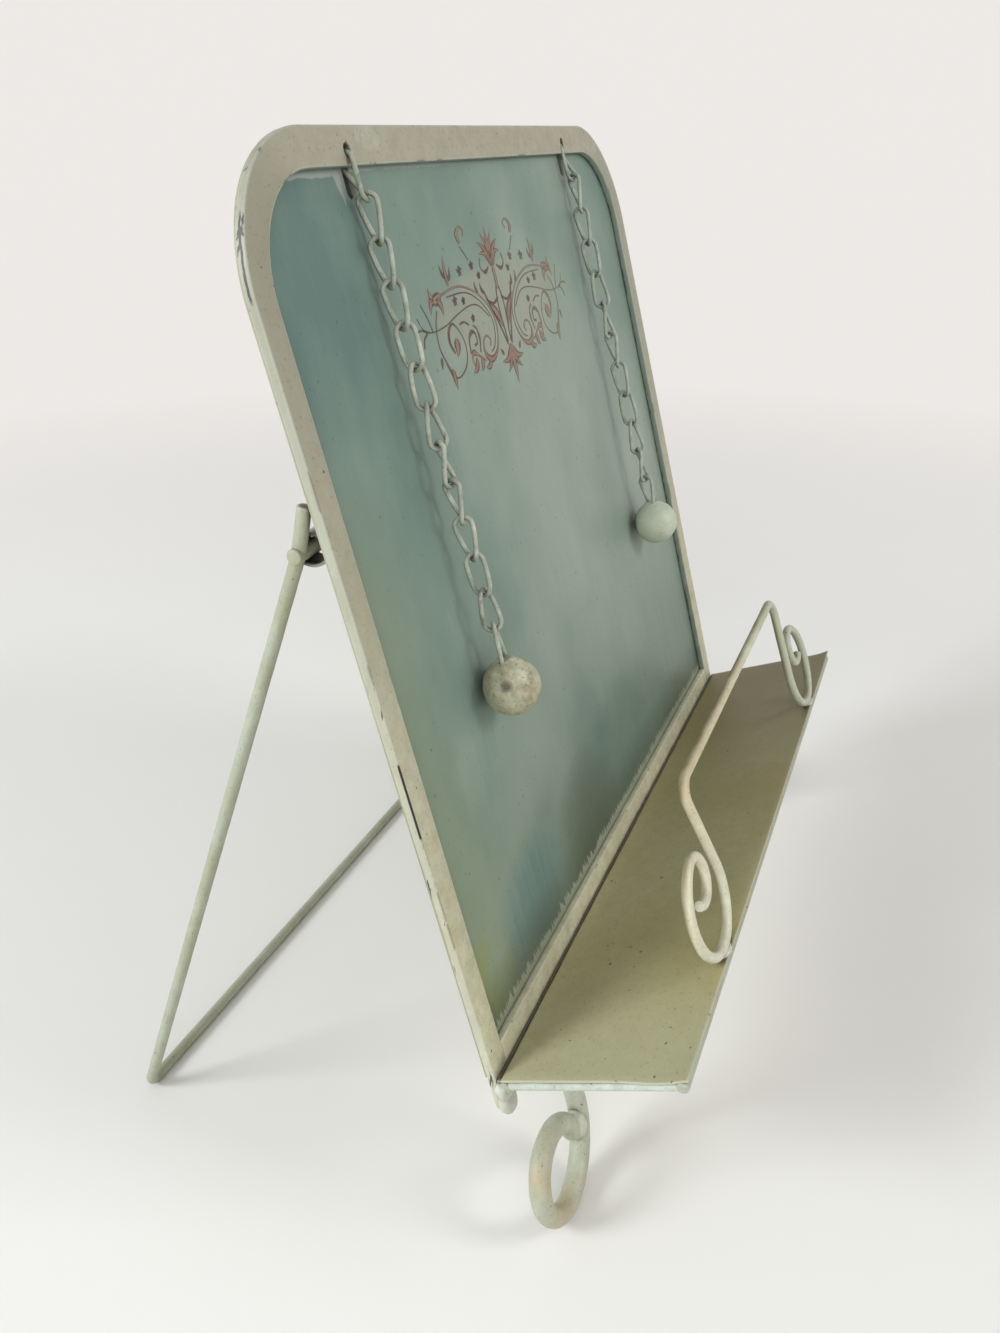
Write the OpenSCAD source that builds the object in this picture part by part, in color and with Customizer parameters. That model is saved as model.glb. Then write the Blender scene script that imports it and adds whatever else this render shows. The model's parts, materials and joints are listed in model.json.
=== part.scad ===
// Folding cookbook stand of painted iron: a leaning board with a shelf, a wire page holder,
// scrolled feet, a folding rear leg and two weighted page chains. Sizes are in millimetres.
// X runs along the board, +Y to the back and +Z up, with the origin on the table.

/* [Board] */
// Width over the frame bar
board_w = 332; // [300:1:360]
// Height of the board above the shelf, along its slope
board_h = 300; // [280:1:330]
// Lean of the board back from upright, in degrees
lean = 15; // [12:0.5:18]
// Height of the shelf's rear edge above the table
board_z = 69; // [62:1:80]
// Width of the frame bar at the sides
side_bar_w = 10; // [8:0.5:14]
// Width of the frame bar at the top
top_bar_w = 11.5; // [10:0.5:14]
// Thickness of the frame bar
bar_t = 3; // [2.4:0.1:3.4]
// Outer radius of the frame's top corners
corner_r = 45; // [30:1:60]
// Reach of the side bars below the shelf
tail = 15.5; // [10:0.5:18]
// Height of the bottom rail
rail_w = 7.3; // [5:0.1:12]
// Thickness of the back sheet
sheet_t = 0.8; // [0.6:0.1:1.5]
// Setback of the back sheet from the frame's outline
sheet_inset = 0.5; // [0.2:0.1:2]

/* [Shelf] */
// Depth of the shelf plate from the board
shelf_d = 69; // [55:1:85]
// Rise of the shelf towards its front, above square to the board, in degrees
shelf_rise = 7; // [4:0.5:10]
// Thickness of the shelf plate
plate_t = 1; // [0.8:0.1:2]
// Diameter of the rod along the back of the shelf
rear_rod_d = 5; // [4:0.5:7]
// Diameter of the rods along the front and the ends of the shelf
edge_rod_d = 4.5; // [3:0.5:5]

/* [Page holder] */
// Diameter of the page holder's wire
holder_d = 4; // [3:0.5:5]
// Height of the bar's centre above the shelf
holder_h = 62; // [54:1:75]
// Half length of the bar between its end bends
holder_bar_x = 83; // [75:1:90]
// Radius of the bends at the bar's ends
holder_bend_r = 7; // [5:0.5:9]
// Distance of each scroll's centre from the middle
scroll_x = 102; // [98:1:115]
// Radius of each scroll's outer turn
scroll_r = 19; // [16:0.5:21]
// Radius of each scroll's inner curl
curl_r = 8.5; // [7:0.5:9]
// Sweep of the inner curl, in degrees
curl_sweep = 230; // [180:5:260]

/* [Feet] */
// Diameter of the foot rods
foot_d = 8; // [5:0.5:9]
// Distance of each foot loop's centre from the middle
foot_x = 151; // [135:1:160]
// Radius of the foot loop
foot_loop_r = 16.5; // [13:0.5:19]
// Radius of the sweep from the loop up to the strut
foot_sweep_r = 26; // [22:0.5:30]
// Forward lean of the feet, in degrees
foot_lean = 17.5; // [10:0.5:22]
// Sweep of the foot loop from its lowest point, in degrees
foot_turn = 260; // [230:5:270]

/* [Rear leg] */
// Diameter of the leg's rod
leg_d = 4.5; // [4:0.5:6]
// Opening angle between the board and the leg, in degrees
leg_angle = 36; // [30:0.2:42]
// Radius of the leg's lower corners
leg_bend_r = 6; // [4:0.5:20]
// Height of the pivot up the board
pivot_s = 189; // [160:1:210]
// Distance of the pivot behind the board's front face
pivot_back = 13; // [11:0.5:16]
// Diameter of the pivot rod
pivot_d = 5; // [4:0.5:6]
// Length of the pivot rod that stands out past each side of the leg
pivot_proud = 1; // [0.5:0.5:6]
// Outer diameter of the pivot eyes
eye_d = 11; // [9:0.5:12]
// Width of the pivot eyes
eye_w = 9; // [6:0.5:16]
// Height of the web that joins each eye to the board
eye_web_h = 6; // [4:0.5:8]
// Angle between the board and the leg's stop stubs, in degrees
stop_angle = 27; // [20:1:32]

/* [Chains] */
// Distance of each chain from the middle
chain_x = 97; // [70:1:115]
// Links in the left chain
left_links = 13; // [9:1:14]
// Links in the right chain
right_links = 12; // [8:1:13]
// Pitch of the left chain's links
left_pitch = 12.9; // [12:0.1:14]
// Pitch of the right chain's links
right_pitch = 14.1; // [13:0.1:15]
// Diameter of the links' wire
link_wire_d = 1.8; // [1.4:0.1:2]
// Width over a link
link_w = 8; // [7.6:0.2:9]
// Diameter of the hole in the frame bar for the first link
hole_d = 5; // [4.5:0.1:5.5]
// Metal left between that hole and the bar's lower edge
bridge = 2; // [1.5:0.1:2.5]
// Diameter of the weight balls
ball_d = 21; // [16:0.5:26]
// Length of the last link that shows above its ball
eye_out = 13; // [10:0.5:16]

/* [Fits] */
// Gap at welded and pressed joints
weld_gap = 0.05; // [0.02:0.01:0.1]
// Gap between the bottom rail and the shelf
rail_gap = 0.7; // [0.5:0.1:1.5]
// Play between neighbouring links
link_play = 0.35; // [0.3:0.05:0.5]
// Clearance between the chains and the back sheet
chain_gap = 0.4; // [0.3:0.1:1]
// Clearance beside a link in the back sheet's slot
slot_room = 1.6; // [0.8:0.1:2]
// Clearance between a stop stub and the back sheet
stop_gap = 0.3; // [0.2:0.1:0.6]
// Radial running clearance of the pivot rod
pivot_play = 0.05; // [0.03:0.01:0.1]
// Gap between the leg and the pivot eyes
eye_gap = 0.5; // [0.3:0.1:1]

/* [Hidden] */
$fn = 96;
cream = [0.66, 0.64, 0.53];
pale_cream = [0.72, 0.73, 0.62];
teal = [0.44, 0.54, 0.51];

// Shelf and its rods, as depths from the board and heights above the shelf
shelf_tilt = lean + shelf_rise;
inner_w = board_w - 2 * side_bar_w;
rear_r = rear_rod_d / 2;
edge_r = edge_rod_d / 2;
rear_h = -(plate_t + weld_gap + rear_r);
rear_pos = (rear_r + weld_gap + rear_h * sin(shelf_rise)) / cos(shelf_rise);
edge_h = -(plate_t + weld_gap + edge_r);
front_pos = shelf_d - edge_r;
end_x = board_w / 2 - edge_r;
plate_back = rail_gap;

// Places of the pivot and the leg, behind the board's lower front edge
pivot_y = pivot_s * sin(lean) + pivot_back * cos(lean);
pivot_z = board_z + pivot_s * cos(lean) - pivot_back * sin(lean);
leg_r = leg_d / 2;
leg_x = board_w / 2 - leg_r;
leg_slope = leg_angle - lean;
leg_len = (pivot_z - leg_r) / cos(leg_slope);
back_of_board = bar_t + sheet_t;
stop_len = (pivot_back - back_of_board - stop_gap - leg_r * cos(stop_angle)) / sin(stop_angle);
eye_x = leg_x - leg_r - eye_gap - eye_w;

// Shift that centres the stand's depth on the origin
front_reach = front_pos * cos(shelf_tilt) - edge_h * sin(shelf_tilt) + edge_r;
back_reach = pivot_y + leg_len * sin(leg_slope) + leg_r;
board_y = (front_reach - back_reach) / 2;

// Feet, in the plane that hangs from the rear rod
rear_y = -rear_pos * cos(shelf_tilt) + rear_h * sin(shelf_tilt);
rear_z = board_z + rear_pos * sin(shelf_tilt) + rear_h * cos(shelf_tilt);
foot_r = foot_d / 2;
foot_low = (foot_r - rear_z) / cos(foot_lean);
strut_x = foot_x - foot_sweep_r;
strut_top = -(rear_r + weld_gap);

// Page holder: where the slanted strand leaves the scroll and meets the bar's bend
holder_pos = shelf_d - holder_d / 2;
scroll_h = holder_d / 2 + weld_gap + scroll_r;
bend_h = holder_h - holder_bend_r;
bend_dx = holder_bar_x - scroll_x;
bend_dh = bend_h - scroll_h;
bend_far = sqrt(bend_dx * bend_dx + bend_dh * bend_dh);
strand_lean = 180 - atan2(bend_dh, bend_dx) - acos((scroll_r + holder_bend_r) / bend_far);
strand_len = sqrt(bend_far * bend_far - pow(scroll_r + holder_bend_r, 2));

// Chains: the first link hangs on the bridge below its hole, the rest hang straight to the ball
link_half = (link_w - link_wire_d) / 2;
link_lift = link_wire_d + link_play;
hole_s = board_h - top_bar_w + bridge + hole_d / 2;
bridge_fit = link_half - link_wire_d / 2 - link_play;
hook_s = hole_s - hole_d / 2 - sqrt(bridge_fit * bridge_fit - bar_t * bar_t / 4);
chain_n = link_w / 2 + chain_gap - bar_t;
ball_r = ball_d / 2;
ball_n = ball_r + chain_gap - bar_t;
ball_drop = ball_r + eye_out;
slot_w = link_wire_d + 2 * slot_room;

function link_count(side) = side < 0 ? left_links : right_links;
function pitch(side) = side < 0 ? left_pitch : right_pitch;
function link_straight(side) = pitch(side) + link_lift - 2 * link_half;
function hook_reach(side) = link_straight(side) + link_half - link_lift;
function hook_tilt(side) = asin((chain_n + bar_t / 2) / hook_reach(side));
function second_s(side) = hook_s - hook_reach(side) * cos(hook_tilt(side));
function hang_len(side) = (link_count(side) - 2) * pitch(side) + ball_drop;
function hang_tilt(side) = asin((ball_n - chain_n) / hang_len(side));
function slot_low(side) = hook_s - link_half * sin(hook_tilt(side))
    - link_straight(side) * cos(hook_tilt(side)) - link_wire_d;
function link_name(side, index) = str(side < 0 ? "left" : "right", "_link_", index);

// Board frame: X along it, -Y out of its front face, Z up its slope from the shelf
module in_board() {
    translate([0, board_y, board_z]) rotate([-lean, 0, 0]) children();
}

// Shelf frame: -Y out along the plate, Z square up from it
module in_shelf() {
    translate([0, board_y, board_z]) rotate([-shelf_tilt, 0, 0]) children();
}

// Foot frame: the rear rod's axis, with -Z down the slanted feet
module in_foot() {
    translate([0, board_y + rear_y, rear_z]) rotate([-foot_lean, 0, 0]) children();
}

// Leg frame: the pivot axis, with -Z down the leg
module in_leg() {
    translate([0, board_y + pivot_y, pivot_z]) rotate([leg_slope, 0, 0]) children();
}

// A slab in the board's plane, from a flat outline, starting at a depth behind the front face
module board_slab(depth, thick) {
    in_board() translate([0, depth + thick, 0]) rotate([90, 0, 0]) linear_extrude(thick) children();
}

// An outline with square lower corners and round upper ones
module arch(w, low, high, r) {
    translate([-w / 2, low]) square([w, high - r - low]);
    translate([r - w / 2, low]) square([w - 2 * r, high - low]);
    for (side = [-1, 1]) translate([side * (w / 2 - r), high - r]) circle(r);
}

// A rod along X, centred
module rod_x(len, d) {
    translate([-len / 2, 0, 0]) rotate([0, 90, 0]) cylinder(h = len, d = d);
}

// A bent piece of round wire in the XZ plane, from one angle over a sweep
module bend(r, d, from, sweep) {
    rotate([90, 0, 0]) rotate([0, 0, from]) rotate_extrude(angle = sweep) translate([r, 0]) circle(d = d);
}

module frame_bar() {
    color(cream) board_slab(0, bar_t) difference() {
        union() {
            arch(board_w, side_bar_w / 2 - tail, board_h, corner_r);
            for (side = [-1, 1])
                translate([side * (board_w - side_bar_w) / 2, side_bar_w / 2 - tail]) circle(d = side_bar_w);
        }
        arch(inner_w, -tail - side_bar_w, board_h - top_bar_w, corner_r - side_bar_w);
        for (side = [-1, 1]) translate([side * chain_x, hole_s]) circle(d = hole_d);
    }
}

module bottom_rail() {
    color(cream) board_slab(0, bar_t)
        translate([weld_gap - inner_w / 2, rail_gap]) square([inner_w - 2 * weld_gap, rail_w]);
}

module back_sheet() {
    color(teal) board_slab(bar_t, sheet_t) difference() {
        arch(board_w - 2 * sheet_inset, rail_gap, board_h - sheet_inset, corner_r - sheet_inset);
        for (side = [-1, 1])
            translate([side * chain_x - slot_w / 2, slot_low(side)])
                square([slot_w, hole_s + hole_d / 2 - slot_low(side)]);
    }
}

module shelf_plate() {
    color(cream) in_shelf()
        translate([-board_w / 2, -shelf_d, -plate_t]) cube([board_w, shelf_d - plate_back, plate_t]);
}

// The shelf's cross rods, thickened by a gap where they trim their neighbours
module rear_rod_at(gap) {
    in_shelf() translate([0, -rear_pos, rear_h]) rod_x(board_w, rear_rod_d + 2 * gap);
}

module front_rod_at(gap) {
    in_shelf() translate([0, -front_pos, edge_h]) rod_x(board_w, edge_rod_d + 2 * gap);
}

module shelf_rear_rod() {
    color(pale_cream) rear_rod_at(0);
}

module shelf_front_rod() {
    color(pale_cream) front_rod_at(0);
}

module shelf_end_rod(side) {
    color(pale_cream) difference() {
        in_shelf() translate([side * end_x, -rear_pos, edge_h]) rotate([90, 0, 0])
            cylinder(h = front_pos - rear_pos, d = edge_rod_d);
        rear_rod_at(weld_gap);
        front_rod_at(weld_gap);
    }
}

// A quarter turn or more of round wire about the origin: it starts on +Z and stops where the
// frame turned by stop has its X axis, so that both its ends lie square on what they meet
module bend_to(r, d, stop) {
    span = 2 * (r + d);
    difference() {
        rotate([90, 0, 0]) rotate_extrude() translate([r, 0]) circle(d = d);
        translate([-span, -span / 2, -span / 2]) cube(span);
        rotate([0, stop, 0]) translate([-span / 2, -span / 2, -span]) cube(span);
    }
}

// One end of the page holder: the bend, the slanted strand, the scroll's turn and its curl
module holder_end() {
    translate([holder_bar_x, 0, bend_h]) {
        bend_to(holder_bend_r, holder_d, strand_lean);
        rotate([0, strand_lean, 0]) translate([holder_bend_r, 0, -strand_len]) {
            cylinder(h = strand_len, d = holder_d);
            translate([scroll_r, 0, 0]) {
                bend(scroll_r, holder_d, 180, 270);
                translate([0, 0, scroll_r - curl_r]) bend(curl_r, holder_d, 90, curl_sweep);
            }
        }
    }
}

module page_holder() {
    color(pale_cream) in_shelf() translate([0, -holder_pos, 0]) {
        translate([0, 0, holder_h]) rod_x(2 * holder_bar_x, holder_d);
        holder_end();
        mirror([1, 0, 0]) holder_end();
    }
}

module foot_shape() {
    translate([foot_x, 0, foot_low + foot_loop_r]) bend(foot_loop_r, foot_d, -90, foot_turn);
    translate([foot_x, 0, foot_low + foot_sweep_r]) bend(foot_sweep_r, foot_d, 180, 90);
    translate([strut_x, 0, foot_low + foot_sweep_r])
        cylinder(h = strut_top - foot_low - foot_sweep_r, d = foot_d);
}

module foot(side) {
    color(pale_cream) in_foot() if (side < 0) mirror([1, 0, 0]) foot_shape(); else foot_shape();
}

module pivot_eye(side) {
    start = side < 0 ? -eye_x - eye_w : eye_x;
    color(cream) in_board() translate([start, pivot_back, pivot_s]) difference() {
        union() {
            rotate([0, 90, 0]) cylinder(h = eye_w, d = eye_d);
            translate([0, back_of_board - pivot_back, -eye_web_h / 2])
                cube([eye_w, pivot_back - back_of_board, eye_web_h]);
        }
        translate([-1, 0, 0]) rotate([0, 90, 0]) cylinder(h = eye_w + 2, d = pivot_d + 2 * pivot_play);
    }
}

module pivot_rod_at(gap) {
    in_leg() rod_x(2 * (leg_x + leg_r + pivot_proud), pivot_d + 2 * gap);
}

module pivot_rod() {
    color(cream) pivot_rod_at(0);
}

module leg_wire() {
    color(pale_cream) difference() {
        in_leg() {
            translate([0, 0, -leg_len]) rod_x(2 * (leg_x - leg_bend_r), leg_d);
            for (side = [-1, 1]) {
                translate([side * leg_x, 0, leg_bend_r - leg_len]) cylinder(h = leg_len - leg_bend_r, d = leg_d);
                translate([side * (leg_x - leg_bend_r), 0, leg_bend_r - leg_len])
                    bend(leg_bend_r, leg_d, side < 0 ? 180 : -90, 90);
            }
        }
        pivot_rod_at(weld_gap);
    }
}

module leg_stop(side) {
    color(pale_cream) difference() {
        in_board() translate([side * leg_x, pivot_back, pivot_s]) rotate([stop_angle, 0, 0])
            cylinder(h = stop_len, d = leg_d);
        pivot_rod_at(weld_gap);
    }
}

// One oval link, hanging down from the centre of its upper wire
module oval_link(side) {
    translate([0, 0, -link_half]) bend(link_half, link_wire_d, 0, 180);
    translate([0, 0, -link_half - link_straight(side)]) {
        bend(link_half, link_wire_d, 180, 180);
        for (edge = [-1, 1]) translate([edge * link_half, 0, 0])
            cylinder(h = link_straight(side), d = link_wire_d);
    }
}

// The last link: a wire eye with both ends cut to the surface of the ball
module ball_eye() {
    translate([0, 0, -link_half]) bend(link_half, link_wire_d, 0, 180);
    difference() {
        for (edge = [-1, 1]) translate([edge * link_half, 0, -ball_drop])
            cylinder(h = ball_drop - link_half, d = link_wire_d);
        translate([0, 0, -ball_drop]) sphere(d = ball_d + 2 * weld_gap);
    }
}

// Places a link of the hanging run, turned a quarter against its neighbours
module on_chain(side, index) {
    in_board() translate([side * chain_x, -chain_n, second_s(side)]) rotate([-hang_tilt(side), 0, 0])
        translate([0, 0, -(index - 2) * pitch(side)]) rotate([0, 0, index % 2 == 0 ? 0 : 90]) children();
}

module chain_link(side, index) {
    color(pale_cream)
        if (index == 1)
            in_board() translate([side * chain_x, bar_t / 2, hook_s]) rotate([-hook_tilt(side), 0, 0])
                translate([0, 0, link_half]) rotate([0, 0, 90]) oval_link(side);
        else if (index < link_count(side)) on_chain(side, index) oval_link(side);
        else on_chain(side, index) ball_eye();
}

module ball(side) {
    color(cream) on_chain(side, link_count(side)) translate([0, 0, -ball_drop]) sphere(d = ball_d);
}

frame_bar();
bottom_rail();
back_sheet();
shelf_plate();
shelf_rear_rod();
shelf_front_rod();
shelf_end_rod(-1);  // shelf_left_rod
shelf_end_rod(1);  // shelf_right_rod
page_holder();
foot(-1);  // left_foot
foot(1);  // right_foot
pivot_eye(-1);  // left_pivot_eye
pivot_eye(1);  // right_pivot_eye
pivot_rod();
leg_wire();
leg_stop(-1);  // left_leg_stop
leg_stop(1);  // right_leg_stop
ball(-1);  // left_ball
ball(1);  // right_ball
for (side = [-1, 1], index = [1 : link_count(side)])
    chain_link(side, index);
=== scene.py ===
import json
import math
import bmesh
import bpy
from mathutils import Matrix, Quaternion, Vector, noise


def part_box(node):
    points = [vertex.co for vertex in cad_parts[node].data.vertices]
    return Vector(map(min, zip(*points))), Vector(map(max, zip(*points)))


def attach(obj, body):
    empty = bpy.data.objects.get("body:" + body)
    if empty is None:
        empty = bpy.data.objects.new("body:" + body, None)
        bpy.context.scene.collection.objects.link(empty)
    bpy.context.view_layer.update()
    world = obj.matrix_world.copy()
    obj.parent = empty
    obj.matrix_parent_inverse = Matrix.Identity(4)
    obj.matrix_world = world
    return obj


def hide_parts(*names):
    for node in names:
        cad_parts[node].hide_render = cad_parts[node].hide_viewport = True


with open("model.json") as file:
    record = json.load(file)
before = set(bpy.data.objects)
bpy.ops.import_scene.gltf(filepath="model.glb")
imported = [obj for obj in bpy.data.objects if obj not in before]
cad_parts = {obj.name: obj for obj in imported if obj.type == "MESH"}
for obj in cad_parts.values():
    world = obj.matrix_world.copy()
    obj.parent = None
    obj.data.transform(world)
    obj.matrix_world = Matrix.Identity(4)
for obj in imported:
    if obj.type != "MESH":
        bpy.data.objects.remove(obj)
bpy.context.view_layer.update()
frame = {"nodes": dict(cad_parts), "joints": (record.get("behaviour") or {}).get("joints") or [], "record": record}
mm = 0.001

# the board's and the shelf's own directions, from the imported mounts
mounts = {m["name"]: m for m in frame["record"]["mounts"]}
jointPlaces = {j["name"]: Vector(j["pos_m"]) for j in frame["joints"]}
across = Vector((1, 0, 0))
boardOut = Vector(mounts["board_face"]["axis"])
boardUp = boardOut.cross(across)
shelfUp = Vector(mounts["shelf_face"]["axis"])
shelfOut = across.cross(shelfUp)
shelfMountDepth = 30
boardFoot = Vector(mounts["shelf_face"]["pos_m"]) - shelfOut * shelfMountDepth * mm

stand = dict(width=332, height=300, barThick=3, sideBar=10, topBar=11.5, corner=45, tail=15.5,
             sheetThick=0.8, railHigh=8, weldGap=0.05)
halfWidth = stand["width"] / 2
bothSides = ((-1, "left"), (1, "right"))


def onBoard(x, out, up):
    return boardFoot + (across * x + boardOut * out + boardUp * up) * mm


def onShelf(x, out, up):
    return boardFoot + (across * x + shelfOut * out + shelfUp * up) * mm


def rgb(red, green, blue):
    parts = [v / 255 for v in (red, green, blue)]
    return tuple(v / 12.92 if v < 0.04045 else ((v + 0.055) / 1.055) ** 2.4 for v in parts) + (1,)


# a value in a material's nodes, which can be added, multiplied and remapped like a number
class Wire:
    def __init__(self, tree, socket):
        self.tree = tree
        self.socket = socket

    def sums(self, kind, other=0.0):
        return newWire(self.tree, "ShaderNodeMath", {0: self, 1: other}, operation=kind)

    def __add__(self, other):
        return self.sums("ADD", other)

    def __sub__(self, other):
        return self.sums("SUBTRACT", other)

    def __mul__(self, other):
        return self.sums("MULTIPLY", other)

    def __truediv__(self, other):
        return self.sums("DIVIDE", other)

    def __abs__(self):
        return self.sums("ABSOLUTE")

    def larger(self, other):
        return self.sums("MAXIMUM", other)

    # low and high become newLow and newHigh, and nothing goes past those
    def remap(self, low, high, newLow=0.0, newHigh=1.0):
        ends = {0: self, 1: low, 2: high, 3: newLow, 4: newHigh}
        return newWire(self.tree, "ShaderNodeMapRange", ends)

    def vectors(self, kind, other, out=0):
        return newWire(self.tree, "ShaderNodeVectorMath", {0: self, 1: other}, out, operation=kind)

    def dot(self, other):
        return self.vectors("DOT_PRODUCT", other, "Value")

    # distance in millimetres along one of the stand's own directions
    def along(self, direction):
        return self.vectors("SUBTRACT", tuple(boardFoot)).dot(tuple(direction)) * 1000.0

    def grain(self, scale, detail=4.0, rough=0.55):
        how = {"Vector": self, "Scale": scale, "Detail": detail, "Roughness": rough}
        return newWire(self.tree, "ShaderNodeTexNoise", how)


# node helpers: a wire is linked, anything else is set on the input itself
def addNode(tree, kind, inputs=None, **settings):
    made = tree.nodes.new(kind)
    for key, value in settings.items():
        setattr(made, key, value)
    for key, value in (inputs or {}).items():
        if isinstance(value, Wire):
            tree.links.new(value.socket, made.inputs[key])
        else:
            made.inputs[key].default_value = value
    return made


def newWire(tree, kind, inputs=None, out=0, **settings):
    return Wire(tree, addNode(tree, kind, inputs, **settings).outputs[out])


def newFinish(name):
    finish = bpy.data.materials.new(name)
    finish.use_nodes = True
    tree = finish.node_tree
    tree.nodes.clear()
    shader = addNode(tree, "ShaderNodeBsdfPrincipled")
    addNode(tree, "ShaderNodeOutputMaterial", {0: Wire(tree, shader.outputs[0])})
    return finish, tree, shader


def feed(shader, name, wire):
    wire.tree.links.new(wire.socket, shader.inputs[name])


def mixTint(share, first, second):
    return newWire(share.tree, "ShaderNodeMix", {0: share, 6: first, 7: second}, 2, data_type="RGBA")


def pieceCoords(tree):
    return newWire(tree, "ShaderNodeTexCoord", out="Object")


def facingOf(tree):
    return newWire(tree, "ShaderNodeNewGeometry", out="Normal")


def cornerWear(tree, radius):
    rounded = newWire(tree, "ShaderNodeBevel", {"Radius": radius}, samples=4)
    return rounded.dot(facingOf(tree)).remap(0.985, 0.86)


# painted shade: a share that grows where ambient occlusion finds crevices and recesses shaded
def creviceShade(tree, reach):
    shade = newWire(tree, "ShaderNodeAmbientOcclusion", {"Distance": reach}, "AO", samples=6)
    return shade.remap(0.85, 0.3)


def setBump(shader, height, strength, depth):
    how = {"Strength": strength, "Distance": depth, "Height": height}
    feed(shader, "Normal", newWire(height.tree, "ShaderNodeBump", how))


# 0 in the middle of an oval area of the board, and 1 on its edge
def oval(side, rise, x, up, reachX, reachUp):
    offX = (side - x) / reachX
    offUp = (rise - up) / reachUp
    return offX * offX + offUp * offUp


# the board's face as a texture plane, drawn out in either direction
def onSheet(side, rise, perX, perUp):
    return newWire(side.tree, "ShaderNodeCombineXYZ", {0: side * perX, 1: rise * perUp})


# aged paint: two tones, mottling, dirt and painted shade in crevices, pale worn corners, dark chips and specks
def agedPaint(name, look, ground=None):
    finish, tree, shader = newFinish(name)
    place = pieceCoords(tree)
    broad = place.grain(look["broad"], 3.0).remap(0.35, 0.65)
    tint = mixTint(broad, look["light"], look["dark"])
    if ground:
        tint = ground(place, tint)
    mottle = place.grain(look["mottleGrain"], 6.0, 0.65).remap(0.3, 0.7)
    tint = mixTint(mottle * look["mottle"], tint, look["stain"])
    speck = place.grain(look["speckGrain"], 3.0).remap(0.60, 0.72)
    tint = mixTint(speck * look["speck"], tint, look["grimeAndShade"])
    patchy = place.grain(look["patches"], 3.0).remap(0.2, 0.5, 0.5, 1.0)
    # grime and painted shade together, darkest where crevices are shaded
    grimeAndShade = creviceShade(tree, look["creviceReach"]) * (patchy * look["creviceShare"])
    tint = mixTint(grimeAndShade, tint, look["grimeAndShade"])
    wear = cornerWear(tree, look["wearRadius"])
    tint = mixTint(wear * look["wearShare"], tint, look["worn"])
    drawn = place.vectors("MULTIPLY", (1.0, 1.0, look["chipDraw"]))
    chipped = drawn.grain(look["chipGrain"], 5.0, 0.6).remap(look["chipFrom"], look["chipFrom"] + 0.015)
    dots = place.grain(look["dotGrain"], 2.0).remap(0.735, 0.745)
    chip = (wear.remap(0.15, 0.35) * chipped).larger(dots * look["dots"])
    feed(shader, "Base Color", mixTint(chip, tint, look["chip"]))
    feed(shader, "Roughness", mottle.remap(0.0, 1.0, look["rough"] - 0.06, look["rough"] + 0.08))
    lumps = place.grain(look["skinGrain"], 4.0) * 0.5 + place.grain(look["lumpGrain"], 3.0)
    setBump(shader, lumps - chip * 0.6, look["bump"], 0.0004)
    return finish


# the grime colour goes into the specks and into the painted shade in crevices
creamLook = dict(light=rgb(178, 177, 155), dark=rgb(164, 163, 142), stain=rgb(146, 138, 110), mottle=0.46,
                 broad=16.0, patches=70.0, speck=0.4, grimeAndShade=rgb(84, 76, 56), creviceReach=0.007,
                 creviceShare=0.95, wearRadius=0.0011, wearShare=0.8, worn=rgb(202, 208, 200),
                 chip=rgb(38, 36, 32), chipGrain=95.0, chipFrom=0.60, chipDraw=0.3, dots=0.8, rough=0.5,
                 bump=0.24, mottleGrain=190.0, speckGrain=900.0, dotGrain=420.0, skinGrain=620.0,
                 lumpGrain=110.0)
rodLook = dict(creamLook, light=rgb(173, 182, 166), dark=rgb(160, 162, 140), stain=rgb(144, 141, 114),
               broad=30.0, creviceReach=0.004, wearShare=0.4, chipFrom=0.64, rough=0.46, bump=0.3)
rodPaint = agedPaint("rodPaint", rodLook)
print("paints made")


# mesh helpers, in metres and in the stand's own frame
def newPiece(name, mesh):
    made = bpy.data.objects.new(name, mesh)
    bpy.context.scene.collection.objects.link(made)
    return made


def smoothFaces(mesh, sharpFrom=None):
    mesh.polygons.foreach_set("use_smooth", [True] * len(mesh.polygons))
    if sharpFrom:
        mesh.set_sharp_from_angle(angle=math.radians(sharpFrom))


def meshPiece(name, points, faces, smooth=True):
    mesh = bpy.data.meshes.new(name)
    mesh.from_pydata([tuple(p) for p in points], [], faces)
    mesh.validate()
    mesh.update()
    if smooth:
        smoothFaces(mesh)
    return newPiece(name, mesh)


def reshape(mesh, change):
    shape = bmesh.new()
    shape.from_mesh(mesh)
    change(shape)
    shape.to_mesh(mesh)
    shape.free()


def mergePoints(shape):
    bmesh.ops.remove_doubles(shape, verts=shape.verts, dist=1e-6)


def turnOutward(shape):
    bmesh.ops.recalc_face_normals(shape, faces=shape.faces)


def withModifiers(piece):
    return bpy.data.meshes.new_from_object(piece.evaluated_get(bpy.context.evaluated_depsgraph_get()))


def dress(piece, finish, body, slot, *nodes):
    piece.data.materials.clear()
    piece.data.materials.append(finish)
    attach(piece, body)
    if nodes:
        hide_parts(*nodes)


rodCap = 0.35  # how far a rod's end stands out, in radii
capRings = 3


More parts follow.
